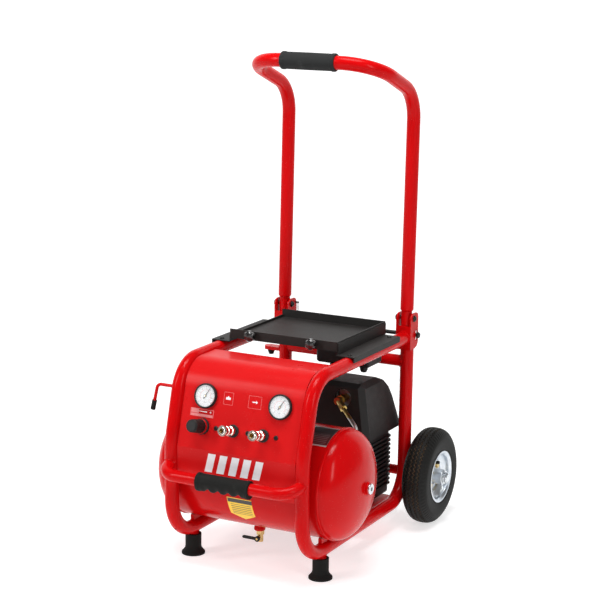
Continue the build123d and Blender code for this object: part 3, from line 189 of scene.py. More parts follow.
def smooth_through(points, steps):
    """Catmull-Rom curve through points: steps samples on each run, ends kept."""
    p = np.asarray(points, float)
    p = np.concatenate([2 * p[:1] - p[1:2], p, 2 * p[-1:] - p[-2:-1]])
    steps = np.broadcast_to(steps, len(p) - 3)
    run = np.repeat(np.arange(len(p) - 3), steps)
    t = np.concatenate([np.arange(n) / n for n in steps])[:, None]
    a, b, c, d = p[run], p[run + 1], p[run + 2], p[run + 3]
    curve = b + 0.5 * t * (c - a + t * (2 * a - 5 * b + 4 * c - d + t * (3 * (b - c) + d - a)))
    return np.concatenate([curve, p[-2:-1]])


def softened(outline, radius, steps=4, closed=False):
    """Each corner C becomes the parabola (1-t)^2 A + 2t(1-t) C + t^2 B, A and B radius away."""
    p = np.asarray(outline, float)
    back, ahead = np.roll(p, 1, 0) - p, np.roll(p, -1, 0) - p
    if not closed:
        back[0] = ahead[-1] = 0
    length = [np.linalg.norm(v, axis=1, keepdims=True) for v in (back, ahead)]
    cut = [v * np.minimum(radius / np.maximum(n, 1e-9), 0.45) for v, n in zip((back, ahead), length)]
    if not closed:
        cut[0][-1], cut[1][0] = 0, 0
    t = np.linspace(0, 1, steps)[None, :, None]
    corner = p[:, None]
    first, last = corner + cut[0][:, None], corner + cut[1][:, None]
    curve = (1 - t) ** 2 * first + 2 * t * (1 - t) * corner + t**2 * last
    return curve.reshape(-1, p.shape[1])


def square_to(axis):
    """Two unit vectors square to an axis and to each other."""
    axis = unit(axis)
    side = unit(np.cross(axis, UP if abs(axis[2]) < 0.9 else RIGHT))
    return side, np.cross(axis, side)


def lathe(outline, centre, axis, sides=64, phase=0.0):
    """Turns (radius, along) about an axis: centre + along*axis + radius*(cos a*u + sin a*v)."""
    outline = np.asarray(outline, float)
    u, v = square_to(axis)
    a = phase + np.arange(sides) * 2 * np.pi / sides
    ring = np.cos(a)[:, None] * u + np.sin(a)[:, None] * v
    return centre + outline[:, 1, None, None] * unit(axis) + outline[:, 0, None, None] * ring[None]


def turned(outline, soft, centre, axis, sides, steps=4, closed=False):
    """A lathed outline in millimetres, its corners softened first."""
    return lathe(softened(np.array(outline) * MM, soft, steps, closed), centre, axis, sides)


def mirrored(half):
    """A run of (radius, across) followed by its mirror image."""
    return half + [(r, -x) for r, x in reversed(half)]


def carried(path, away, radius, sides=8, closed=False):
    """A circle carried along a path: path + radius*(cos a*n + sin a*b).

    n is `away` made square to the path's direction and b is square to both.
    """
    path = np.asarray(path, float)
    ahead = np.roll(path, -1, 0) - np.roll(path, 1, 0) if closed else np.gradient(path, axis=0)
    tangent = unit(ahead)
    away = np.broadcast_to(np.asarray(away, float), path.shape)
    n = unit(away - tangent * (away * tangent).sum(1, keepdims=True))
    b = np.cross(tangent, n)
    a = np.arange(sides) * 2 * np.pi / sides
    radius = np.broadcast_to(radius, len(path))[:, None, None]
    return path[:, None] + radius * (np.cos(a)[:, None] * n[:, None] + np.sin(a)[:, None] * b[:, None])


def weld(path, away, size, closed=True):
    """A rippled bead: a carried circle whose radius swells with every weld drop."""
    path = np.asarray(path, float)
    length = np.linalg.norm(np.diff(path, axis=0), axis=1).sum()
    drops = max(6, round(length / (1.9 * size)))
    phase = np.linspace(0, 1, len(path), endpoint=not closed) * drops
    radius = size * (0.86 + 0.16 * np.cos(2 * np.pi * phase))
    if not closed:
        radius[0] = radius[-1] = 0
    return carried(path, away, radius, 7, closed)


def joint_line(centre, branch, main, branch_r, main_r, count=168):
    """Where a branch tube meets the tube it is welded to.

    Points on the branch, centre + r*(cos a*u + sin a*v) + t*branch, with t solved so that
    their distance from the main tube's line is that tube's radius.
    """
    branch, main = unit(branch), unit(main)
    u, v = square_to(branch)
    a = np.arange(count) * 2 * np.pi / count
    out = branch_r * (np.cos(a)[:, None] * u + np.sin(a)[:, None] * v)
    flat = out - (out @ main)[:, None] * main
    way = branch - branch @ main * main
    dot, square = flat @ way, way @ way
    t = (-dot + np.sqrt(dot**2 - square * ((flat**2).sum(1) - main_r**2))) / square
    return centre + out + t[:, None] * branch, out


def circle(centre, axis, radius, count=168, start=0.0, sweep=2 * np.pi):
    """Points and outward directions of a circle, or of an arc, about an axis."""
    u, v = square_to(axis)
    a = start + np.linspace(0, sweep, count, endpoint=sweep < 6.28)
    out = np.cos(a)[:, None] * u + np.sin(a)[:, None] * v
    return centre + radius * out, out


def on_face(x, height, proud=0.0):
    """A point of the panel's leaning face, `height` up its slope from the couplings' row."""
    return np.array((x, REGULATOR_SPOT[1], REGULATOR_SPOT[2])) + FACE_UP * height + FACE_OUT * proud


# ---------------------------------------------------------------- shader maths
class Wire:
    """A socket that does arithmetic: each operator adds the Math node that it stands for."""

    def __init__(self, finish, socket):
        self.finish, self.socket = finish, socket

    def maths(self, operation, *values):
        sockets = dict(enumerate(values))
        return self.finish.node("ShaderNodeMath", {"operation": operation}, sockets)

    def __add__(self, other):
        return self.maths("ADD", self, other)

    def __sub__(self, other):
        return self.maths("SUBTRACT", self, other)

    def __rsub__(self, other):
        return self.maths("SUBTRACT", other, self)

    def __mul__(self, other):
        return self.maths("MULTIPLY", self, other)

    def __gt__(self, other):
        return self.maths("GREATER_THAN", self, other)

    def __lt__(self, other):
        return self.maths("LESS_THAN", self, other)

    __radd__, __rmul__ = __add__, __mul__

    def between(self, low, high):
        """0 below low, 1 above high, smooth between."""
        return self.finish.node(
            "ShaderNodeMapRange",
            {"interpolation_type": "SMOOTHSTEP"},
            {"Value": self, "From Min": low, "From Max": high},
        )


class Finish:
    """One material: a Principled surface and the nodes that feed it."""

    def __init__(self, name, **constants):
        self.material = bpy.data.materials.new(name)
        self.material.use_nodes = True
        self.nodes = self.material.node_tree.nodes
        self.links = self.material.node_tree.links
        self.nodes.clear()
        self.body = self.nodes.new("ShaderNodeBsdfPrincipled")
        out = self.nodes.new("ShaderNodeOutputMaterial")
        self.links.new(self.body.outputs[0], out.inputs["Surface"])
        for key, value in constants.items():
            self.body.inputs[key.replace("_", " ").title().replace("Ior", "IOR")].default_value = value
        self.place = self.node("ShaderNodeTexCoord", output="Object")

    def node(self, kind, settings=None, sockets=None, output=0):
        """Adds a node: its settings first, a ramp's stops with them, then values or links."""
        node = self.nodes.new(kind)
        for key, value in (settings or {}).items():
            if key == "stops":
                ramp = node.color_ramp.elements
                while len(ramp) < len(value):
                    ramp.new(0.5)
                for element, (position, colour) in zip(ramp, value):
                    element.position, element.color = position, (*colour, 1)
            else:
                setattr(node, key, value)
        for key, value in (sockets or {}).items():
            if isinstance(value, Wire):
                self.links.new(value.socket, node.inputs[key])
            else:
                node.inputs[key].default_value = value
        return Wire(self, node.outputs[output])

    def noise(self, scale, detail=3.0, roughness=0.5, place=None):
        """Cloudy noise, 0 to 1, `scale` clouds to the metre."""
        sockets = {"Vector": place or self.place, "Scale": scale, "Detail": detail, "Roughness": roughness}
        return self.node("ShaderNodeTexNoise", {}, sockets)

    def cells(self, scale):
        """Distance to the nearest of scattered points, `scale` of them to the metre."""
        return self.node("ShaderNodeTexVoronoi", {}, {"Vector": self.place, "Scale": scale})

    def axes(self, place=None):
        """The place's x, y and z."""
        split = self.node("ShaderNodeSeparateXYZ", {}, {"Vector": place or self.place}).socket.node
        return [Wire(self, split.outputs[i]) for i in range(3)]

    def along(self, direction, origin=(0.0, 0.0, 0.0)):
        """Distance from origin in a direction."""
        from_origin = self.node(
            "ShaderNodeVectorMath", {"operation": "SUBTRACT"}, {0: self.place, 1: tuple(origin)}
        )
        sockets = {0: from_origin, 1: tuple(direction)}
        return self.node("ShaderNodeVectorMath", {"operation": "DOT_PRODUCT"}, sockets, "Value")

    def mix(self, factor, first, second):
        """A colour between two colours."""
        ends = enumerate((first, second), 6)
        colours = {i: end if isinstance(end, Wire) else (*end, 1) for i, end in ends}
        return self.node("ShaderNodeMix", {"data_type": "RGBA"}, {0: factor, **colours}, 2)

    def colour(self, value):
        self.feed("Base Color", value)

    def feed(self, socket, value):
        """Gives a changing value to one of the surface's sockets."""
        self.links.new(value.socket, self.body.inputs[socket])

    def bump(self, height, distance, strength=1.0):
        """Raises the surface by distance where height is 1."""
        sockets = {"Strength": strength, "Distance": distance, "Height": height}
        self.feed("Normal", self.node("ShaderNodeBump", {}, sockets))


def shade(colour, factor):
    """A colour made darker or lighter."""
    return tuple(min(1.0, channel * factor) for channel in colour[:3])


def enamel(name, colour, roughness=0.17, gloss=0.09):
    """Stoved gloss enamel: orange peel, cloudy depth, and dull dust specks."""
    paint = Finish(name, specular_ior_level=gloss)
    clouds = paint.noise(7.0, 4.0)
    specks = paint.cells(260.0).between(0.16, 0.05) * paint.noise(30.0).between(0.5, 0.62)
    body = paint.mix(clouds, shade(colour, 0.86), shade(colour, 1.1))
    paint.colour(paint.mix(specks * 0.35, body, (0.55, 0.36, 0.32)))
    paint.feed("Roughness", roughness + 0.1 * paint.noise(24.0, 5.0) + specks * 0.25)
    paint.bump(paint.noise(190.0, 2.0), 0.00012, 0.45)
    return paint.material


def powder_coat(name, colour):
    """Fine textured powder coat, a little polished on its high spots."""
    paint = Finish(name, specular_ior_level=0.3)
    grain = paint.noise(900.0, 3.0, 0.6)
    paint.colour(paint.mix(paint.noise(9.0, 4.0), shade(colour, 0.75), shade(colour, 1.45)))
    paint.feed("Roughness", 0.72 - 0.26 * grain)
    paint.bump(grain, 0.0003, 0.5)
    return paint.material


def moulded_plastic(name, colour, roughness=0.42, gloss=0.28):
    """Spark grained moulded plastic with faint flow clouds."""
    plastic = Finish(name, specular_ior_level=gloss)
    grain = plastic.cells(1100.0)
    flow = plastic.noise(5.0, 5.0, 0.6)
    plastic.colour(plastic.mix(flow, shade(colour, 0.7), shade(colour, 1.5)))
    plastic.feed("Roughness", roughness + 0.2 * plastic.noise(60.0, 3.0))
    plastic.bump(grain, 0.00018, 0.35)
    return plastic.material


def rubber(name, colour, grain_scale=500.0, roughness=0.68):
    """Matt rubber with a fine blown skin and pale scuffs."""
    skin = Finish(name, specular_ior_level=0.22)
    grain = skin.noise(grain_scale, 4.0, 0.65)
    scuffs = skin.noise(38.0, 6.0, 0.7).between(0.56, 0.74)
    body = skin.mix(grain, shade(colour, 0.7), shade(colour, 1.4))
    skin.colour(skin.mix(scuffs * 0.4, body, shade(colour, 3.2)))
    skin.feed("Roughness", roughness + 0.2 * grain)
    skin.bump(grain, 0.0004, 0.5)
    return skin.material


def tread_rubber(name, colour):
    """Tyre rubber: the attribute "mark" is 1 in the grooves, where brown dust has settled and where the rubber is
    painted darker as painted shade.
    """
    skin = Finish(name, specular_ior_level=0.2)
    groove = skin.node("ShaderNodeAttribute", {"attribute_name": "mark"}, output="Fac")
    dust = groove * skin.noise(16.0, 3.0).between(0.4, 0.62)
    grain = skin.noise(420.0, 4.0, 0.6)
    body = skin.mix(skin.noise(22.0, 5.0), shade(colour, 0.75), shade(colour, 1.5))
    # the grooves are painted darker (painted shade in the recesses), and brown dust is laid over them
    skin.colour(skin.mix(dust * 0.75, skin.mix(groove, body, shade(colour, 0.35)), (0.16, 0.105, 0.062)))
    skin.feed("Roughness", 0.5 + 0.22 * grain + dust * 0.2)
    skin.bump(grain, 0.0002, 0.4)
    return skin.material


def metal(name, colour, roughness, tint=None, grain_scale=130.0, depth=0.00006):
    """Plated or machined metal: cloudy tint, uneven polish, fine scratches."""
    plate = Finish(name, metallic=1.0)
    clouds = plate.noise(28.0, 4.0, 0.6)
    plate.colour(plate.mix(clouds.between(0.35, 0.68), shade(colour, 0.92), tint or shade(colour, 1.06)))
    polish = plate.noise(grain_scale, 6.0, 0.7)
    plate.feed("Roughness", roughness + 0.16 * polish)
    plate.bump(polish, depth, 0.4)
    return plate.material


def cast_metal(name, colour, roughness=0.5):
    """Sand cast metal with a pitted skin."""
    cast = Finish(name, metallic=0.85)
    skin = cast.cells(420.0)
    cast.colour(cast.mix(cast.noise(14.0, 5.0), shade(colour, 0.7), shade(colour, 1.15)))
    cast.feed("Roughness", roughness + 0.2 * skin)
    cast.bump(skin, 0.0005, 0.5)
    return cast.material


def pipe_metal(name, steel, brass):
    """Plated pipe whose elbow and union nuts, above a plane across the pipe, are brass."""
    plate = Finish(name, metallic=1.0)
    high = node_box("delivery_pipe")[1]
    nuts = plate.axes()[2].between(high[2] - 0.0355, high[2] - 0.0350)
    clouds = plate.noise(60.0, 4.0)
    steel = plate.mix(clouds, shade(steel, 0.8), steel)
    brass = plate.mix(clouds, shade(brass, 0.7), brass)
    plate.colour(plate.mix(nuts, steel, brass))
    plate.feed("Roughness", 0.22 + 0.2 * clouds)
    plate.bump(plate.noise(300.0, 3.0), 0.00005, 0.4)
    return plate.material


def lens_glass(name):
    """Clear moulded lens with faint ripple."""
    lens = Finish(name, alpha=0.12, roughness=0.03, base_color=(0.97, 0.99, 0.99, 1))
    lens.bump(lens.noise(60.0, 2.0), 0.00002, 0.2)
    return lens.material


def printed(name, colour, roughness=0.4, wear=0.25):
    """Screen printed ink with worn, thin places."""
    ink = Finish(name, coat_weight=0.3, coat_roughness=0.15)
    thin = ink.noise(160.0, 5.0, 0.7).between(0.5, 0.75)
    ink.colour(ink.mix(thin * wear, colour, shade(colour, 0.62)))
    ink.feed("Roughness", roughness + 0.15 * thin)
    ink.bump(thin, 0.00002, 0.3)
    return ink.material


def foil_label(name):
    """A dark foil plate with a bright rim and plain bars, laid out on its own unwrap."""
    foil = Finish(name, metallic=0.4, coat_weight=0.5, coat_roughness=0.1)
    u, v, _ = foil.axes(foil.node("ShaderNodeUVMap", {"uv_map": "unwrap"}))
    inside = u.between(0.06, 0.09) * (1.0 - u.between(0.91, 0.94))
    inside = inside * v.between(0.06, 0.09) * (1.0 - v.between(0.91, 0.94))
    rows = (v * 14.0).maths("FRACT", v * 14.0).between(0.42, 0.5)
    bars = rows * (u > 0.16) * (u < 0.84) * (v > 0.12) * (v < 0.55) * 0.22
    dark = foil.mix(v.between(0.3, 0.7), (0.07, 0.008, 0.010), (0.035, 0.035, 0.037))
    foil.colour(foil.mix(inside, (0.5, 0.5, 0.5), foil.mix(bars, dark, (0.45, 0.42, 0.42))))
    foil.feed("Roughness", 0.26 + 0.2 * foil.noise(90.0))
    return foil.material


def care_label(name, colour):
    """A plain yellow label with a dark band and bars and no lettering."""
    paper = Finish(name, coat_weight=0.4, coat_roughness=0.2)
    u, v, _ = paper.axes(paper.node("ShaderNodeUVMap", {"uv_map": "unwrap"}))
    band = (v > 0.80) * (v < 0.95) * (u > 0.05) * (u < 0.95)
    rows = (v * 12.0).maths("FRACT", v * 12.0).between(0.5, 0.56)
    bars = rows * (v > 0.3) * (v < 0.74) * (u > 0.14) * (u < 0.86) * 0.7
    paper.colour(paper.mix(band.maths("MAXIMUM", band, bars), colour, (0.02, 0.018, 0.012)))
    paper.feed("Roughness", 0.42 + 0.12 * paper.noise(120.0))
    return paper.material


# ---------------------------------------------------------------- settings
def colour_property(name, description, default):
    """A colour that a user would change."""
    return FloatVectorProperty(
        name=name, description=description, subtype="COLOR", size=3, min=0, max=1, default=default
    )


def length_property(name, description, default):
    """A length that a user would change."""
    return FloatProperty(name=name, description=description, unit="LENGTH", default=default, precision=4)


def angle_property(name, description, degrees):
    """A camera angle that a user would change."""
    return FloatProperty(
        name=name, description=description, subtype="ANGLE", default=math.radians(degrees)
    )


class CompressorColours(bpy.types.PropertyGroup):
    """Colours of the machine."""

    enamel: colour_property("Enamel", "Gloss enamel of the tubes and the tank", (0.55, 0.002, 0.003))
    panel: colour_property("Panel", "Enamel of the control panel", (0.60, 0.008, 0.009))
    sheet: colour_property("Tray", "Powder coat of the tray", (0.014, 0.0125, 0.0115))
    plastic: colour_property("Plastic", "Moulded hood, cowl and knobs", (0.0085, 0.0080, 0.0078))
    rubber: colour_property("Rubber", "Tyres, feet and grips", (0.0065, 0.0065, 0.0058))
    label: colour_property("Label", "Care label on the tank", (0.90, 0.58, 0.02))


class CompressorSizes(bpy.types.PropertyGroup):
    """Sizes of the small pieces that are added to the frame."""

    bead: length_property("Weld bead", "Half width of a frame weld", 0.0019)
    tread_depth: length_property("Tread depth", "Depth of the tyres' zigzag grooves", 0.0024)
    zigzags: IntProperty(name="Zigzags", description="Zigzags round a tyre", default=72, min=12, max=96)
    spring_turns: IntProperty(
        name="Spring turns", description="Turns of each lock spring", default=11, min=4
    )
    lobe_depth: length_property("Finger depth", "Depth of the carry grip's finger hollows", 0.0050)
    finger_pitch: length_property("Finger pitch", "Distance between the finger hollows", 0.024)
    print_thickness: length_property("Print", "How far printing stands off its surface", 0.00012)


class CompressorStudio(bpy.types.PropertyGroup):
    """Camera, light and floor."""

    lens: FloatProperty(name="Lens", description="Focal length in millimetres", default=103.95, min=20)
    azimuth: angle_property("Azimuth", "Camera's turn to the right", 27.45)
    elevation: angle_property("Elevation", "Camera's height angle", 11.77)
    roll: angle_property("Roll", "Camera's roll", 0.81)
    place: FloatVectorProperty(
        name="Place", description="Where the camera stands", subtype="TRANSLATION", size=3,
        default=(1.6933, -3.2702, 1.3097),
    )
    floor: colour_property("Floor", "Floor and backdrop", (0.62, 0.62, 0.62))
    light: FloatProperty(name="Light", description="Strength of all the lamps", default=1.12, min=0)


def settings():
    """The scene's three groups of settings."""
    scene = bpy.context.scene
    return scene.compressor_colours, scene.compressor_sizes, scene.compressor_studio


def dressed(piece, body, finish):
    """Gives a piece its material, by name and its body."""
    piece.data.materials.clear()
    piece.data.materials.append(bpy.data.materials[finish])
    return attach(piece, body)


class COMPRESSOR_OT_finishes(bpy.types.Operator):
    """Makes every material and gives the frame's own nodes theirs"""

    bl_idname = "compressor.finishes"
    bl_label = "Finishes"

    def execute(self, context):
        colours = settings()[0]
        red, plastic = tuple(colours.enamel), tuple(colours.plastic)
        black = tuple(colours.rubber)
        made = {
            "red_paint": enamel("tube_enamel", red),
            "red_tank": enamel("tank_enamel", red, 0.14, 0.12),
            "red_panel": enamel("panel_enamel", tuple(colours.panel), 0.24, 0.1),
            "black_sheet": powder_coat("tray_powder_coat", tuple(colours.sheet)),
            "black_steel": metal("blackened_steel", (0.035, 0.034, 0.033), 0.38),
            "spring_steel": metal("spring_steel", (0.42, 0.42, 0.43), 0.28),
            "black_rubber": rubber("grip_rubber", black),
            "black_plastic": moulded_plastic("moulded_plastic", plastic),
            "zinc": metal("zinc_plate", (0.62, 0.68, 0.74), 0.16, (0.80, 0.81, 0.80)),
            "brass": metal("brass", (0.60, 0.42, 0.17), 0.2, (0.72, 0.53, 0.25)),
            "nickel": metal("nickel_plate", (0.74, 0.69, 0.61), 0.14, (0.86, 0.82, 0.75)),
            "gauge_black": powder_coat("gauge_case_paint", (0.011, 0.011, 0.011)),
            "dial_white": printed("dial_face", (0.80, 0.80, 0.82), 0.45, 0.06),
            "needle_black": printed("needle_ink", (0.015, 0.015, 0.015), 0.35, 0.2),
            "lens": lens_glass("gauge_lens"),
            "cast_aluminium": cast_metal("cast_aluminium", (0.46, 0.47, 0.48)),
            "steel_core": metal("shaft_steel", (0.45, 0.45, 0.46), 0.3),
            "tyre_rubber": tread_rubber("tread_rubber", black),
        }
        foam = rubber("foam_grip", (0.018, 0.019, 0.019), 1500.0, 0.8)
        knobs = moulded_plastic("knob_plastic", (0.006, 0.006, 0.006), 0.06, 0.9)
        rims = metal("rim_plate", (0.62, 0.68, 0.75), 0.24, (0.80, 0.82, 0.83), 60.0, 0.000008)
        own = {
            "star_knob_right": knobs,
            "star_knob_left": knobs,
            "rim_right": rims,
            "rim_left": rims,
            "delivery_pipe": pipe_metal("pipe_metal", (0.66, 0.64, 0.63), (0.62, 0.45, 0.16)),
            "push_handle_grip": foam,
            "regulator_body": moulded_plastic("knurled_plastic", (0.018, 0.018, 0.018), 0.5),
        }
        printed("white_ink", (0.82, 0.80, 0.82), 0.35, 0.1)
        printed("faint_ink", (0.80, 0.23, 0.23), 0.4, 0.5)
        printed("red_ink", (0.70, 0.10, 0.08), 0.4, 0.1)
        foil_label("foil_label")
        care_label("care_label", tuple(colours.label))
        for row in frame["record"]["subparts"]:
            node = NODES[row["node"]]
            node.data.materials.clear()
            node.data.materials.append(own.get(row["node"], made[row["material_slot"]]))
        return {"FINISHED"}


class COMPRESSOR_OT_frame_welds(bpy.types.Operator):
    """Lays the weld beads where the frame's tubes and rods meet"""

    bl_idname = "compressor.frame_welds"
    bl_label = "Frame welds"

    def execute(self, context):
        size = settings()[1].bead
        cross = middle("rear_cross_tube")
        cross_r = (node_box("rear_cross_tube")[1][2] - node_box("rear_cross_tube")[0][2]) / 2
        carry_z, carry_r, carry_way = 0.228, 0.0125, unit((0, -49, -11.5))
        rail_z, post_r = 0.0615, 0.012
        foot_y, front_y = middle("rubber_feet")[1], LEG_LOW[1] + TUBE_R
        bracket_y = node_box("hinge_brackets")[0][1] - 0.0006
        hook_r = 0.0035
        hook = (-FRAME_X, middle("hose_hook")[1], node_box("hose_hook")[1][2] - hook_r)
        beads = []
        for _, s in SIDES:
            x = s * FRAME_X
            bracket = (x, bracket_y, LEG_HIGH[2] - TUBE_R)
            beads += [
                weld(*joint_line((x, *cross[1:]), (-s, 0, 0), UP, cross_r, TUBE_R), size),
                weld(*joint_line((x, front_y, carry_z), carry_way, UP, carry_r, TUBE_R), size),
                weld(*joint_line((x, foot_y, rail_z), -UP, (0, 1, 0), post_r, TUBE_R), 0.7 * size),
                weld(*circle(bracket, (0, 1, 0), TUBE_R + 0.0004), size),
            ]
        lean = unit(np.cross(FACE_OUT, RIGHT))
        beads.append(weld(*joint_line(hook, -RIGHT, lean, hook_r, TUBE_R, 60), 0.55 * size))
        welds = surface("frame_welds", beads, close_rows=True)
        dressed(welds, "frame", "tube_enamel")

        axle_low, axle_high = node_box("axle_tube")
        lug = (-FRAME_X, cross[1], node_box("cable_lug")[1][2] + 0.0004)
        arc = circle(lug, UP, TUBE_R + 0.0006, 60, math.pi / 2 - 0.9, 1.8)
        lines = [weld(*arc, 0.8 * size, closed=False)]
        t = np.linspace(0, 1, 120)[:, None]
        for _, s in SIDES:
            for side in (-1, 1):
                x, y = s * FRAME_X + side * 0.0034, cross[1] + TUBE_R * 0.985
                low = np.array((x, y, axle_low[2] + 0.014))
                high = np.array((x, y, axle_high[2] - 0.002))
                lines.append(weld(low + (high - low) * t, (side, 0.6, 0), 0.75 * size, closed=False))
        gusset = surface("gusset_welds", lines)
        dressed(gusset, "frame", "tube_enamel")
        return {"FINISHED"}


class COMPRESSOR_OT_tank_details(bpy.types.Operator):
    """Adds the tank's seam and boss welds and its two plain labels"""

    bl_idname = "compressor.tank_details"
    bl_label = "Tank details"

    def patch(self, name, x_from, x_to, low, high, taper=0.0):
        """A label bent round the tank: axis + R*(-cos a, sin a) in Y and Z over x and a.

        Its rim is tucked into the steel. taper narrows it to a point over that share of
        its height at the bottom.
        """
        u = np.concatenate([[0], np.linspace(0, 1, 25), [1]])[None, :]
        v = np.concatenate([[0], np.linspace(0, 1, 41), [1]])[:, None]
        width = np.clip(v / taper, 0.02, 1) if taper else np.ones_like(v)
        centre = (x_from + x_to) / 2
        x = centre + (u - 0.5) * (x_to - x_from) * width
        angle = low + (high - low) * v + 0 * u
        radius = np.full(x.shape, TANK_R + settings()[1].print_thickness)
        radius[0], radius[-1], radius[:, 0], radius[:, -1] = [TANK_R - 0.0002] * 4
        points = np.stack(
            [x, TANK_AXIS[1] - radius * np.cos(angle), TANK_AXIS[2] + radius * np.sin(angle)], -1
        )
        return surface(name, points, close_columns=False)

    def execute(self, context):
        seam_x = TANK_HIGH[0]
        boss_x = node_box("tank_ends")[1][0] - 0.0073
        seam = (seam_x - 0.0005, TANK_R + 0.0002, 720, 0.0013)
        beads = [
            weld(*circle((s * x, *TANK_AXIS[1:]), RIGHT, r, count), bead)
            for _, s in SIDES for x, r, count, bead in (seam, (boss_x, 0.0132, 160, 0.0019))
        ]
        welds = surface("tank_welds", beads, close_rows=True)
        dressed(welds, "frame", "tank_enamel")
        foot = np.array((*middle("drain_valve")[:2], node_box("drain_valve")[1][2]))
        collar = [(6.2, -15.5), (11.3, -15.5), (12.4, -14), (12.4, -9), (11.4, -7), (11.4, 0), (6.2, 0)]
        boss = surface("drain_boss", turned(collar, 0.0006, foot, UP, 72, closed=True), close_rows=True)
        dressed(boss, "frame", "tank_enamel")
        rad = math.radians
        plate = self.patch("foil_label_plate", 0.117, seam_x - 0.003, rad(55), rad(89))
        dressed(plate, "frame", "foil_label")
        flag = self.patch("care_label_flag", -0.0335, 0.025, rad(-45), rad(-14.5), 0.28)
        dressed(flag, "frame", "care_label")
        return {"FINISHED"}


class COMPRESSOR_OT_wheels(bpy.types.Operator):
    """Replaces the tyres and rims with treaded tyres and pressed, plated rims"""

    bl_idname = "compressor.wheels"
    bl_label = "Wheels"

    def tyre(self, side, centre, sizes):
        """A tyre: its section carried round the axle, with radius lowered in the grooves.

        A groove is where |x - x0 - A*triangle(N*angle)| is under half its width, and the
        shoulders carry short cross bars, one to a zigzag.
        """
        half = [(54, 25), (56.4, 27.7), (61, 28), (68, 29.7), (84, 30.9), (95, 27.8), (103.4, 21.5)]
        crown = [(108.4, 13), (110, 0), (108.4, -13)]
        section = np.array(half + crown + [(r, -x) for r, x in reversed(half)]) * MM
        curve = smooth_through(section, [2, 3, 4, 6, 6, 10, 13, 19, 19, 13, 10, 6, 6, 4, 3, 2])
        radius, across = curve[:, :1], curve[:, 1:]
        radius = np.minimum(radius, 0.1099)
        around = sizes.zigzags * 8
        turn = np.arange(around)[None, :] / around
        phase = turn * sizes.zigzags
        zigzag = 4 * np.abs(phase - np.floor(phase) - 0.5) - 1
        mark = np.zeros((len(curve), around))
        for row, width in ((-0.0150, 2.0), (-0.0050, 2.5), (0.0050, 2.5), (0.0150, 2.0)):
            gap = np.abs(across - row - 0.0021 * zigzag) / MM
            mark = np.maximum(mark, np.clip((width / 2 - gap) / 0.45 + 0.5, 0, 1))
        edge = np.clip((np.abs(across) - 0.0205) / 0.0015, 0, 1)
        edge = edge * np.clip((radius - 0.093) / 0.002, 0, 1)
        bars = np.clip(0.5 + 1.6 * np.sin(2 * np.pi * phase), 0, 1) * edge
        ring = sum(np.exp(-(((radius - r) / 0.0007) ** 2)) for r in (0.0650, 0.0885))
        radius = radius - sizes.tread_depth * mark - 0.0009 * bars
        across = across + np.sign(across) * (0.0005 * ring - 0.0005) * (np.abs(across) > 0.02)
        a = 2 * np.pi * turn
        points = centre + np.stack([across + 0 * a, radius * np.cos(a), radius * np.sin(a)], -1)
        piece = surface(f"treaded_tyre_{side}", points, close_rows=True, marks=mark, sharp=50)
        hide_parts(f"tyre_{side}")
        return dressed(piece, f"wheel_{side}", "tread_rubber")

    def rim(self, side, centre):
        """A pressed rim and its hub, one closed section turned about the axle."""
        front = [(59.5, 29.4), (57.8, 29.6), (55.4, 29.2), (53.2, 26.6), (51.8, 25.4), (51.2, 18),
                 (49, 14.5), (43, 11.5), (39.6, 9.5), (38.6, 4.2), (30.5, 8.8), (23, 8.8),
                 (17, 3.4), (17, 35), (16, 36), (8.1, 36)]
        back = [(59.5, -28.5), (56, -28.2), (54, -25.5), (53.7, -18), (52, -14), (45, -10), (42, -6)]
        ring = turned(mirrored(front) + mirrored(back), 0.0009, centre, RIGHT, 128, closed=True)
        piece = surface(f"pressed_rim_{side}", ring, close_rows=True, sharp=40)
        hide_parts(f"rim_{side}")
        return dressed(piece, f"wheel_{side}", "rim_plate")

    def execute(self, context):
        sizes = settings()[1]
        bolt_circle_r, stem_r = 0.0268, 0.0462
        washer = [(0, 0), (6.9, 0), (6.9, 0.9), (0, 0.9)]
        head = np.array([(0, 0), (5.6, 0), (5.6, 3.2), (4.9, 3.9), (0, 3.9)]) * MM + (0, 0.0009)
        stem = [(0, 0), (5, 0), (5, 2), (3.8, 3.5), (3.2, 12), (4, 12.4), (4, 19), (3.2, 20.4), (0, 20.6)]
        for side, s in SIDES:
            centre = joint_place(f"wheel_spin_{side}")[0]
            self.tyre(side, centre, sizes)
            self.rim(side, centre)
            bolts = []
            for n in range(4):
                a = math.pi / 4 + n * math.pi / 2
                spot = centre + np.array((0, math.cos(a), math.sin(a))) * bolt_circle_r
                for way in (-1, 1):
                    face = spot + RIGHT * way * 0.0087
                    bolts.append(turned(washer, 0.0003, face, RIGHT * way, 36))
                    bolts.append(lathe(head, face, RIGHT * way, 36 if way < 0 else 6))
            dressed(surface(f"rim_bolts_{side}", bolts), f"wheel_{side}", "brass")
            foot = centre + np.array((s * 0.0125, -stem_r * 0.5, stem_r * 0.866))
            piece = surface(f"valve_stem_{side}", turned(stem, 0.0004, foot, RIGHT * s, 32))
            dressed(piece, f"wheel_{side}", "grip_rubber")
        return {"FINISHED"}


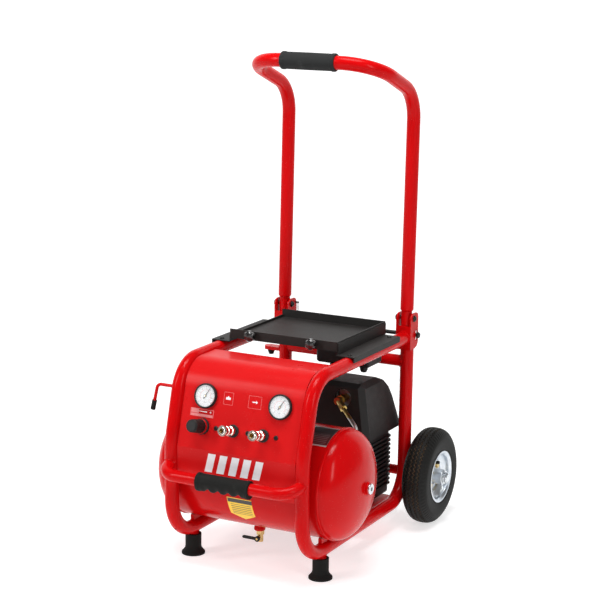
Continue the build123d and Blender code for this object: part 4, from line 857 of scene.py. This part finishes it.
class COMPRESSOR_OT_grips(bpy.types.Operator):
    """Replaces the foam sleeve on the push handle and the moulded carry grip"""

    bl_idname = "compressor.grips"
    bl_label = "Grips"

    def execute(self, context):
        sizes = settings()[1]
        low, high = node_box("push_handle_grip")
        r, half = (high[2] - low[2]) / 2, (high[0] - low[0]) / 2
        collar = 0.0085
        outline = np.array(
            [(TUBE_R, -half), (r - 0.0016, -half), (r, -half + 0.002), (r, -half + collar),
             (r - 0.0011, -half + collar + 0.0008)]
        )
        outline = np.concatenate([outline, [(r - 0.0008, 0.0)], outline[::-1] * (1, -1)])
        section = np.concatenate([softened(outline, 0.0009, 5), [(TUBE_R, half)]])
        sleeve = lathe(section, middle("push_handle_grip"), RIGHT, 96)
        grip = surface("foam_sleeve", sleeve, close_rows=True, sharp=40)
        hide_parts("push_handle_grip")
        dressed(grip, "handle", "foam_grip")

        low, high = node_box("carry_handle_grip")
        half, r = (high[0] - low[0]) / 2, (high[1] - low[1]) / 2
        drop = high[2] - low[2] - 2 * r
        centre = np.array((0, (low[1] + high[1]) / 2, high[2] - r))
        x = np.concatenate([[-half] * 2, np.linspace(-half, half, 253), [half] * 2])[:, None]
        a = np.arange(80)[None, :] * 2 * np.pi / 80
        under = np.clip(-np.sin(a), 0, 1)
        collar = np.clip((np.abs(x) - half + 0.0086) / 0.0012, 0, 1)
        hollow = np.clip(np.cos(2 * np.pi * (x - sizes.finger_pitch / 2) / sizes.finger_pitch), -1, 1)
        hollow = np.clip(0.5 + 0.62 * hollow, 0, 1)
        hollow = hollow * np.clip((half - 0.0125 - np.abs(x)) / 0.004, 0, 1)
        rounding = 0.0018 * np.clip((np.abs(x) - half + 0.0018) / 0.0018, 0, 1) ** 2
        radius = r - 0.001 * (1 - collar) - rounding + drop * under**2
        radius = radius - sizes.lobe_depth * hollow * under**1.5
        radius = radius - 0.0002 * (0.5 + 0.5 * np.cos(a * 40)) * (1 - collar) * (1 - under)
        radius[:1] = radius[-1:] = 0.0125
        points = centre + np.stack([x + 0 * a, radius * np.cos(a), radius * np.sin(a)], -1)
        grip = surface("finger_grip", points, close_rows=True, sharp=45)
        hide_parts("carry_handle_grip")
        dressed(grip, "frame", "grip_rubber")
        return {"FINISHED"}


class COMPRESSOR_OT_lock_springs(bpy.types.Operator):
    """Winds the lock bar's two return springs"""

    bl_idname = "compressor.lock_springs"
    bl_label = "Lock springs"

    def execute(self, context):
        low, high = node_box("lock_springs")
        turns = settings()[1].spring_turns
        coils, middle_y, wire = [], (low[1] + high[1]) / 2, 0.0005
        coil_r = (high[1] - low[1]) / 2 - wire
        for _, s in SIDES:
            t = np.linspace(0, 1, turns * 22 + 1)
            a = 2 * np.pi * turns * t
            centre = np.array((s * (high[0] - 0.0035), middle_y, 0))
            away = np.stack([np.cos(a), np.sin(a), 0 * a], -1)
            path = centre + coil_r * away
            path[:, 2] = low[2] + wire + (high[2] - low[2] - 2 * wire) * t
            radius = np.full(len(t), wire)
            radius[0] = radius[-1] = 0
            coils.append(carried(path, away, radius, 7))
        springs = surface("coil_springs", coils)
        springs.data.materials.append(bpy.data.materials["spring_steel"])
        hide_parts("lock_springs")
        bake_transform(springs)
        return {"FINISHED"}


def numerals(name, words, spots, across, up, size, depth):
    """Dial numbers, each centred on its spot, upright, as one mesh."""
    joined = bmesh.new()
    for word, spot in zip(words, spots):
        text = bpy.data.curves.new(name, "FONT")
        text.body, text.size, text.extrude = word, size, depth
        text.align_x, text.align_y = "CENTER", "CENTER"
        letter = placed(name, text)
        bpy.context.view_layer.update()
        flat = bpy.data.meshes.new_from_object(letter)
        bpy.data.objects.remove(letter)
        place = Matrix.Identity(4)
        for column, vector in enumerate((across, up, np.cross(across, up), spot)):
            for row in range(3):
                place[row][column] = vector[row]
        flat.transform(place)
        joined.from_mesh(flat)
        bpy.data.meshes.remove(flat)
    mesh = bpy.data.meshes.new(name)
    joined.to_mesh(mesh)
    joined.free()
    return finish_mesh(name, mesh)


class COMPRESSOR_OT_gauges(bpy.types.Operator):
    """Prints the gauges' dials and adds the needles' caps"""

    bl_idname = "compressor.gauges"
    bl_label = "Gauges"

    def polar(self, spot, angle, radius, proud):
        """A point of a dial, its angle clockwise from the top."""
        return (
            spot + RIGHT * radius * math.sin(angle) + FACE_UP * radius * math.cos(angle)
            + FACE_OUT * proud
        )

    def mark(self, spot, a, b, inner, outer, dial):
        """The corners of a dial mark between two angles and two radii."""
        corners = ((a, inner), (b, inner), (b, outer), (a, outer))
        return np.array([self.polar(spot, angle, radius, dial) for angle, radius in corners])

    def execute(self, context):
        depth = settings()[1].print_thickness
        black, red, words, spots, caps = [], [], [], [], []
        rad = math.radians
        for side, _ in SIDES:
            spot = joint_place(f"needle_swing_{side}")[0]
            dial = reach("gauge_dials", FACE_OUT) - float(spot @ FACE_OUT)
            for n in range(33):
                a, long = rad(-135 + 270 * n / 32), n % 4 == 0
                wide = 0.0005 if long else 0.00028
                inner, outer = (0.0178 if long else 0.0192), 0.0212
                edge = RIGHT * math.cos(a) * wide / 2 - FACE_UP * math.sin(a) * wide / 2
                low, high = self.polar(spot, a, inner, dial), self.polar(spot, a, outer, dial)
                black.append(np.array([low - edge, low + edge, high + edge, high - edge]))
            for first in range(27):
                a, b = rad(-135 + first * 10), rad(-125 + first * 10)
                red.append(self.mark(spot, a, b, 0.0121, 0.0124, dial))
                red.append(self.mark(spot, a, a + 0.03, 0.0124, 0.0134, dial))
            for first in range(5):
                a, b = rad(93 + first * 8.4), rad(101.4 + first * 8.4)
                red.append(self.mark(spot, a, b, 0.0206, 0.0214, dial))
            for n in range(9):
                a = rad(-135 + 270 * n / 8)
                words.append(str(2 * n))
                spots.append(self.polar(spot, a, 0.0156, dial + depth / 2))
            words.append("bar")
            spots.append(self.polar(spot, math.pi, 0.0130, dial + depth / 2))
            cap = [(0, 0.4), (1.9, 0.4), (1.9, 1.2), (1.2, 1.45), (0, 1.5)]
            foot = spot + FACE_OUT * (dial + 0.0001)
            caps.append((side, turned(cap, 0.0003, foot, FACE_OUT, 32)))
        black = prisms("dial_scale", black, FACE_OUT, depth)
        dressed(black, "frame", "needle_ink")
        red = prisms("dial_inner_scale", red, FACE_OUT, depth)
        dressed(red, "frame", "red_ink")
        digits = numerals("dial_numbers", words, spots, RIGHT, FACE_UP, 0.0030, depth / 2)
        dressed(digits, "frame", "needle_ink")
        for side, cap in caps:
            piece = surface(f"needle_cap_{side}", cap)
            dressed(piece, f"needle_{side}", "brass")
        return {"FINISHED"}


class COMPRESSOR_OT_panel_print(bpy.types.Operator):
    """Prints a plain row of slanted bars and small pictograms on the panel"""

    bl_idname = "compressor.panel_print"
    bl_label = "Panel print"

    def execute(self, context):
        depth = settings()[1].print_thickness
        front_y = node_box("control_panel")[0][1]
        low_z, high_z, left, right, count = 0.222, 0.262, -0.073, 0.068, 5
        pitch = (right - left) / count
        bars = []
        for n in range(count):
            x, wide, slant = left + n * pitch, pitch * 0.62, pitch * 0.34
            bars.append(np.array([(x, front_y, low_z), (x + wide, front_y, low_z),
                                  (x + wide + slant, front_y, high_z), (x + slant, front_y, high_z)]))
        mark = prisms("panel_bars", bars, (0, -1, 0), depth)
        dressed(mark, "frame", "white_ink")

        def shape(*corners):
            return np.array([on_face(x, height) for x, height in corners])

        def box(x0, x1, h0, h1):
            return shape((x0, h0), (x1, h0), (x1, h1), (x0, h1))

        def outline(x0, x1, h0, h1, line):
            return [box(x0, x1, h0, h0 + line), box(x0, x1, h1 - line, h1),
                    box(x0, x0 + line, h0 + line, h1 - line), box(x1 - line, x1, h0 + line, h1 - line)]

        faint = outline(-0.0435, -0.0215, 0.052, 0.078, 0.0005)
        faint += outline(0.0150, 0.0450, 0.052, 0.078, 0.0005)
        faint += outline(-0.118, -0.063, 0.0195, 0.0355, 0.0009)
        faint += [box(-0.1165, -0.0645, 0.0205, 0.0250), box(-0.1165, -0.0985, 0.0262, 0.0346)]
        bold = [box(-0.0385, -0.0275, 0.0625, 0.0675), box(-0.0345, -0.0315, 0.0675, 0.0695)]
        bold += [box(0.0240, 0.0325, 0.0640, 0.0665)]
        bold += [shape((0.0325, 0.0618), (0.0370, 0.06525), (0.0325, 0.0687))]
        bold += [shape((-0.107, 0.0303), (-0.079, 0.0290), (-0.079, 0.0316))]
        bold += [box(-0.073, -0.068, 0.0298, 0.0308), box(-0.071, -0.070, 0.0278, 0.0328)]
        frames = prisms("panel_frames", faint, FACE_OUT, depth)
        dressed(frames, "frame", "faint_ink")
        pictograms = prisms("panel_pictograms", bold, FACE_OUT, depth)
        dressed(pictograms, "frame", "white_ink")
        return {"FINISHED"}


class COMPRESSOR_OT_air_fittings(bpy.types.Operator):
    """Adds the regulator's red ring, the couplings' brass liners and their black collars"""

    bl_idname = "compressor.air_fittings"
    bl_label = "Air fittings"

    def execute(self, context):
        ring = [(14.9, 8.2), (16.3, 8.2), (16.3, 10.9), (15.6, 11.6), (14.9, 11.6)]
        ring = turned(ring, 0.0003, REGULATOR_SPOT, FACE_OUT, 96, closed=True)
        piece = surface("regulator_ring", ring, close_rows=True)
        dressed(piece, "regulator_knob", "tube_enamel")
        cap = [(0, 46.0), (10.6, 46.0), (10.6, 46.5), (9.8, 46.9), (0, 46.9)]
        piece = surface("regulator_cap", turned(cap, 0.0002, REGULATOR_SPOT, FACE_OUT, 72))
        dressed(piece, "regulator_knob", "knurled_plastic")
        liner = [(5.19, -16.8), (5.19, -0.6), (4.7, -0.9), (4.6, -15.8), (3.75, -16.8)]
        collar = [(9.55, -4), (12.1, -4), (12.1, 0.2), (13.6, 0.2), (13.6, 2.4), (12.8, 3.4),
                  (10.6, 3.6), (9.55, 2.8)]
        liners, collars = [], []
        for mount in frame["record"]["mounts"]:
            if not mount["name"].startswith("coupler_outlet"):
                continue
            mouth = np.array(mount["pos_m"], float) + FACE_OUT * 0.009
            liners.append(turned(liner, 0.0002, mouth, FACE_OUT, 72, 3, True))
            root = on_face(mouth[0], 0.0)
            collars.append(turned(collar, 0.0003, root, FACE_OUT, 72, 3, True))
        dressed(surface("coupling_liners", liners, close_rows=True), "frame", "brass")
        collars = surface("coupling_collars", collars, close_rows=True)
        dressed(collars, "frame", "knurled_plastic")
        return {"FINISHED"}


def soft_lamp(name, place, target, size, power):
    """A square area lamp that looks at a point."""
    lamp = bpy.data.lights.new(name, "AREA")
    lamp.shape, lamp.size, lamp.size_y = "RECTANGLE", size[0], size[1]
    lamp.energy = power
    holder = placed(name, lamp)
    holder.location = place
    holder.rotation_euler = (Vector(target) - Vector(place)).to_track_quat("-Z", "Y").to_euler()


class COMPRESSOR_OT_studio(bpy.types.Operator):
    """Sets the floor with its curved backdrop, the lamps and the camera"""

    bl_idname = "compressor.studio"
    bl_label = "Studio"

    def execute(self, context):
        studio = settings()[2]
        scene = context.scene
        a = np.linspace(0, np.pi / 2, 24)
        bend_at, bend_r = 5.0, 3.0
        bend = np.stack([bend_at + bend_r * np.sin(a), bend_r - bend_r * np.cos(a)], -1)
        profile = np.concatenate([[(-9.0, 0.0)], bend, [(8.0, 9.0)]])
        x = np.linspace(-12, 12, 9)[None, :]
        az = studio.azimuth
        ahead = np.array((-math.sin(az), math.cos(az), 0))
        side = np.array((math.cos(az), math.sin(az), 0))
        points = x[..., None] * side + profile[:, :1, None] * ahead + profile[:, 1:, None] * UP
        floor = surface("floor", points, close_columns=False)
        white = Finish("studio_white", roughness=0.9, specular_ior_level=0.1, emission_strength=0.86)
        far = white.along(ahead).between(1.5, 4.5)
        white.feed("Emission Color", white.mix(far, (0.72, 0.72, 0.72), (1, 1, 1)))
        white.colour(white.mix(white.noise(0.6), tuple(studio.floor), shade(studio.floor, 1.03)))
        floor.data.materials.append(white.material)

        power = studio.light
        target = (0, 0, 0.45)
        soft_lamp("overhead", (0.1, -0.5, 3.2), target, (1.7, 1.0), 70 * power)
        soft_lamp("key", (-2.2, -2.8, 2.5), target, (0.45, 1.9), 56 * power)
        soft_lamp("fill", (3.1, -1.5, 1.9), target, (0.35, 1.9), 30 * power)
        world = bpy.data.worlds.new("studio_air")
        world.use_nodes = True
        air = world.node_tree.nodes["Background"].inputs
        air["Color"].default_value, air["Strength"].default_value = (1, 1, 1, 1), 0.2
        scene.world = world
        scene.view_settings.view_transform = "Standard"

        ca, sa = math.cos(az), math.sin(az)
        ce, se = math.cos(studio.elevation), math.sin(studio.elevation)
        back = Vector((sa * ce, -ca * ce, se))
        right = Vector((ca, sa, 0))
        up = back.cross(right)
        cr, sr = math.cos(studio.roll), math.sin(studio.roll)
        right, up = cr * right + sr * up, cr * up - sr * right
        camera = bpy.data.cameras.new("camera")
        camera.lens, camera.sensor_width = studio.lens, 36
        holder = bpy.data.objects.new("camera", camera)
        turn = Matrix((right, up, back)).transposed().to_4x4()
        holder.matrix_world = Matrix.Translation(Vector(studio.place)) @ turn
        scene.collection.objects.link(holder)
        scene.camera = holder
        return {"FINISHED"}


OPERATORS = (
    COMPRESSOR_OT_finishes,
    COMPRESSOR_OT_frame_welds,
    COMPRESSOR_OT_tank_details,
    COMPRESSOR_OT_wheels,
    COMPRESSOR_OT_grips,
    COMPRESSOR_OT_lock_springs,
    COMPRESSOR_OT_gauges,
    COMPRESSOR_OT_panel_print,
    COMPRESSOR_OT_air_fittings,
    COMPRESSOR_OT_studio,
)


class COMPRESSOR_PT_panel(bpy.types.Panel):
    """Lists the steps and their settings"""

    bl_idname = "COMPRESSOR_PT_panel"
    bl_label = "Air compressor"
    bl_space_type = "VIEW_3D"
    bl_region_type = "UI"
    bl_category = "Compressor"

    def draw(self, context):
        for group in settings():
            box = self.layout.box()
            for name in group.__annotations__:
                box.prop(group, name)
        for operator in OPERATORS:
            self.layout.operator(operator.bl_idname)


CLASSES = (CompressorColours, CompressorSizes, CompressorStudio, *OPERATORS, COMPRESSOR_PT_panel)


def register():
    for cls in CLASSES:
        bpy.utils.register_class(cls)
    bpy.types.Scene.compressor_colours = PointerProperty(type=CompressorColours)
    bpy.types.Scene.compressor_sizes = PointerProperty(type=CompressorSizes)
    bpy.types.Scene.compressor_studio = PointerProperty(type=CompressorStudio)


def unregister():
    for name in ("compressor_colours", "compressor_sizes", "compressor_studio"):
        delattr(bpy.types.Scene, name)
    for cls in reversed(CLASSES):
        bpy.utils.unregister_class(cls)


def main():
    """Runs every step in order."""
    register()
    for operator in OPERATORS:
        getattr(bpy.ops.compressor, operator.bl_idname.split(".")[1])()
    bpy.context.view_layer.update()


if __name__ == "__main__":
    main()
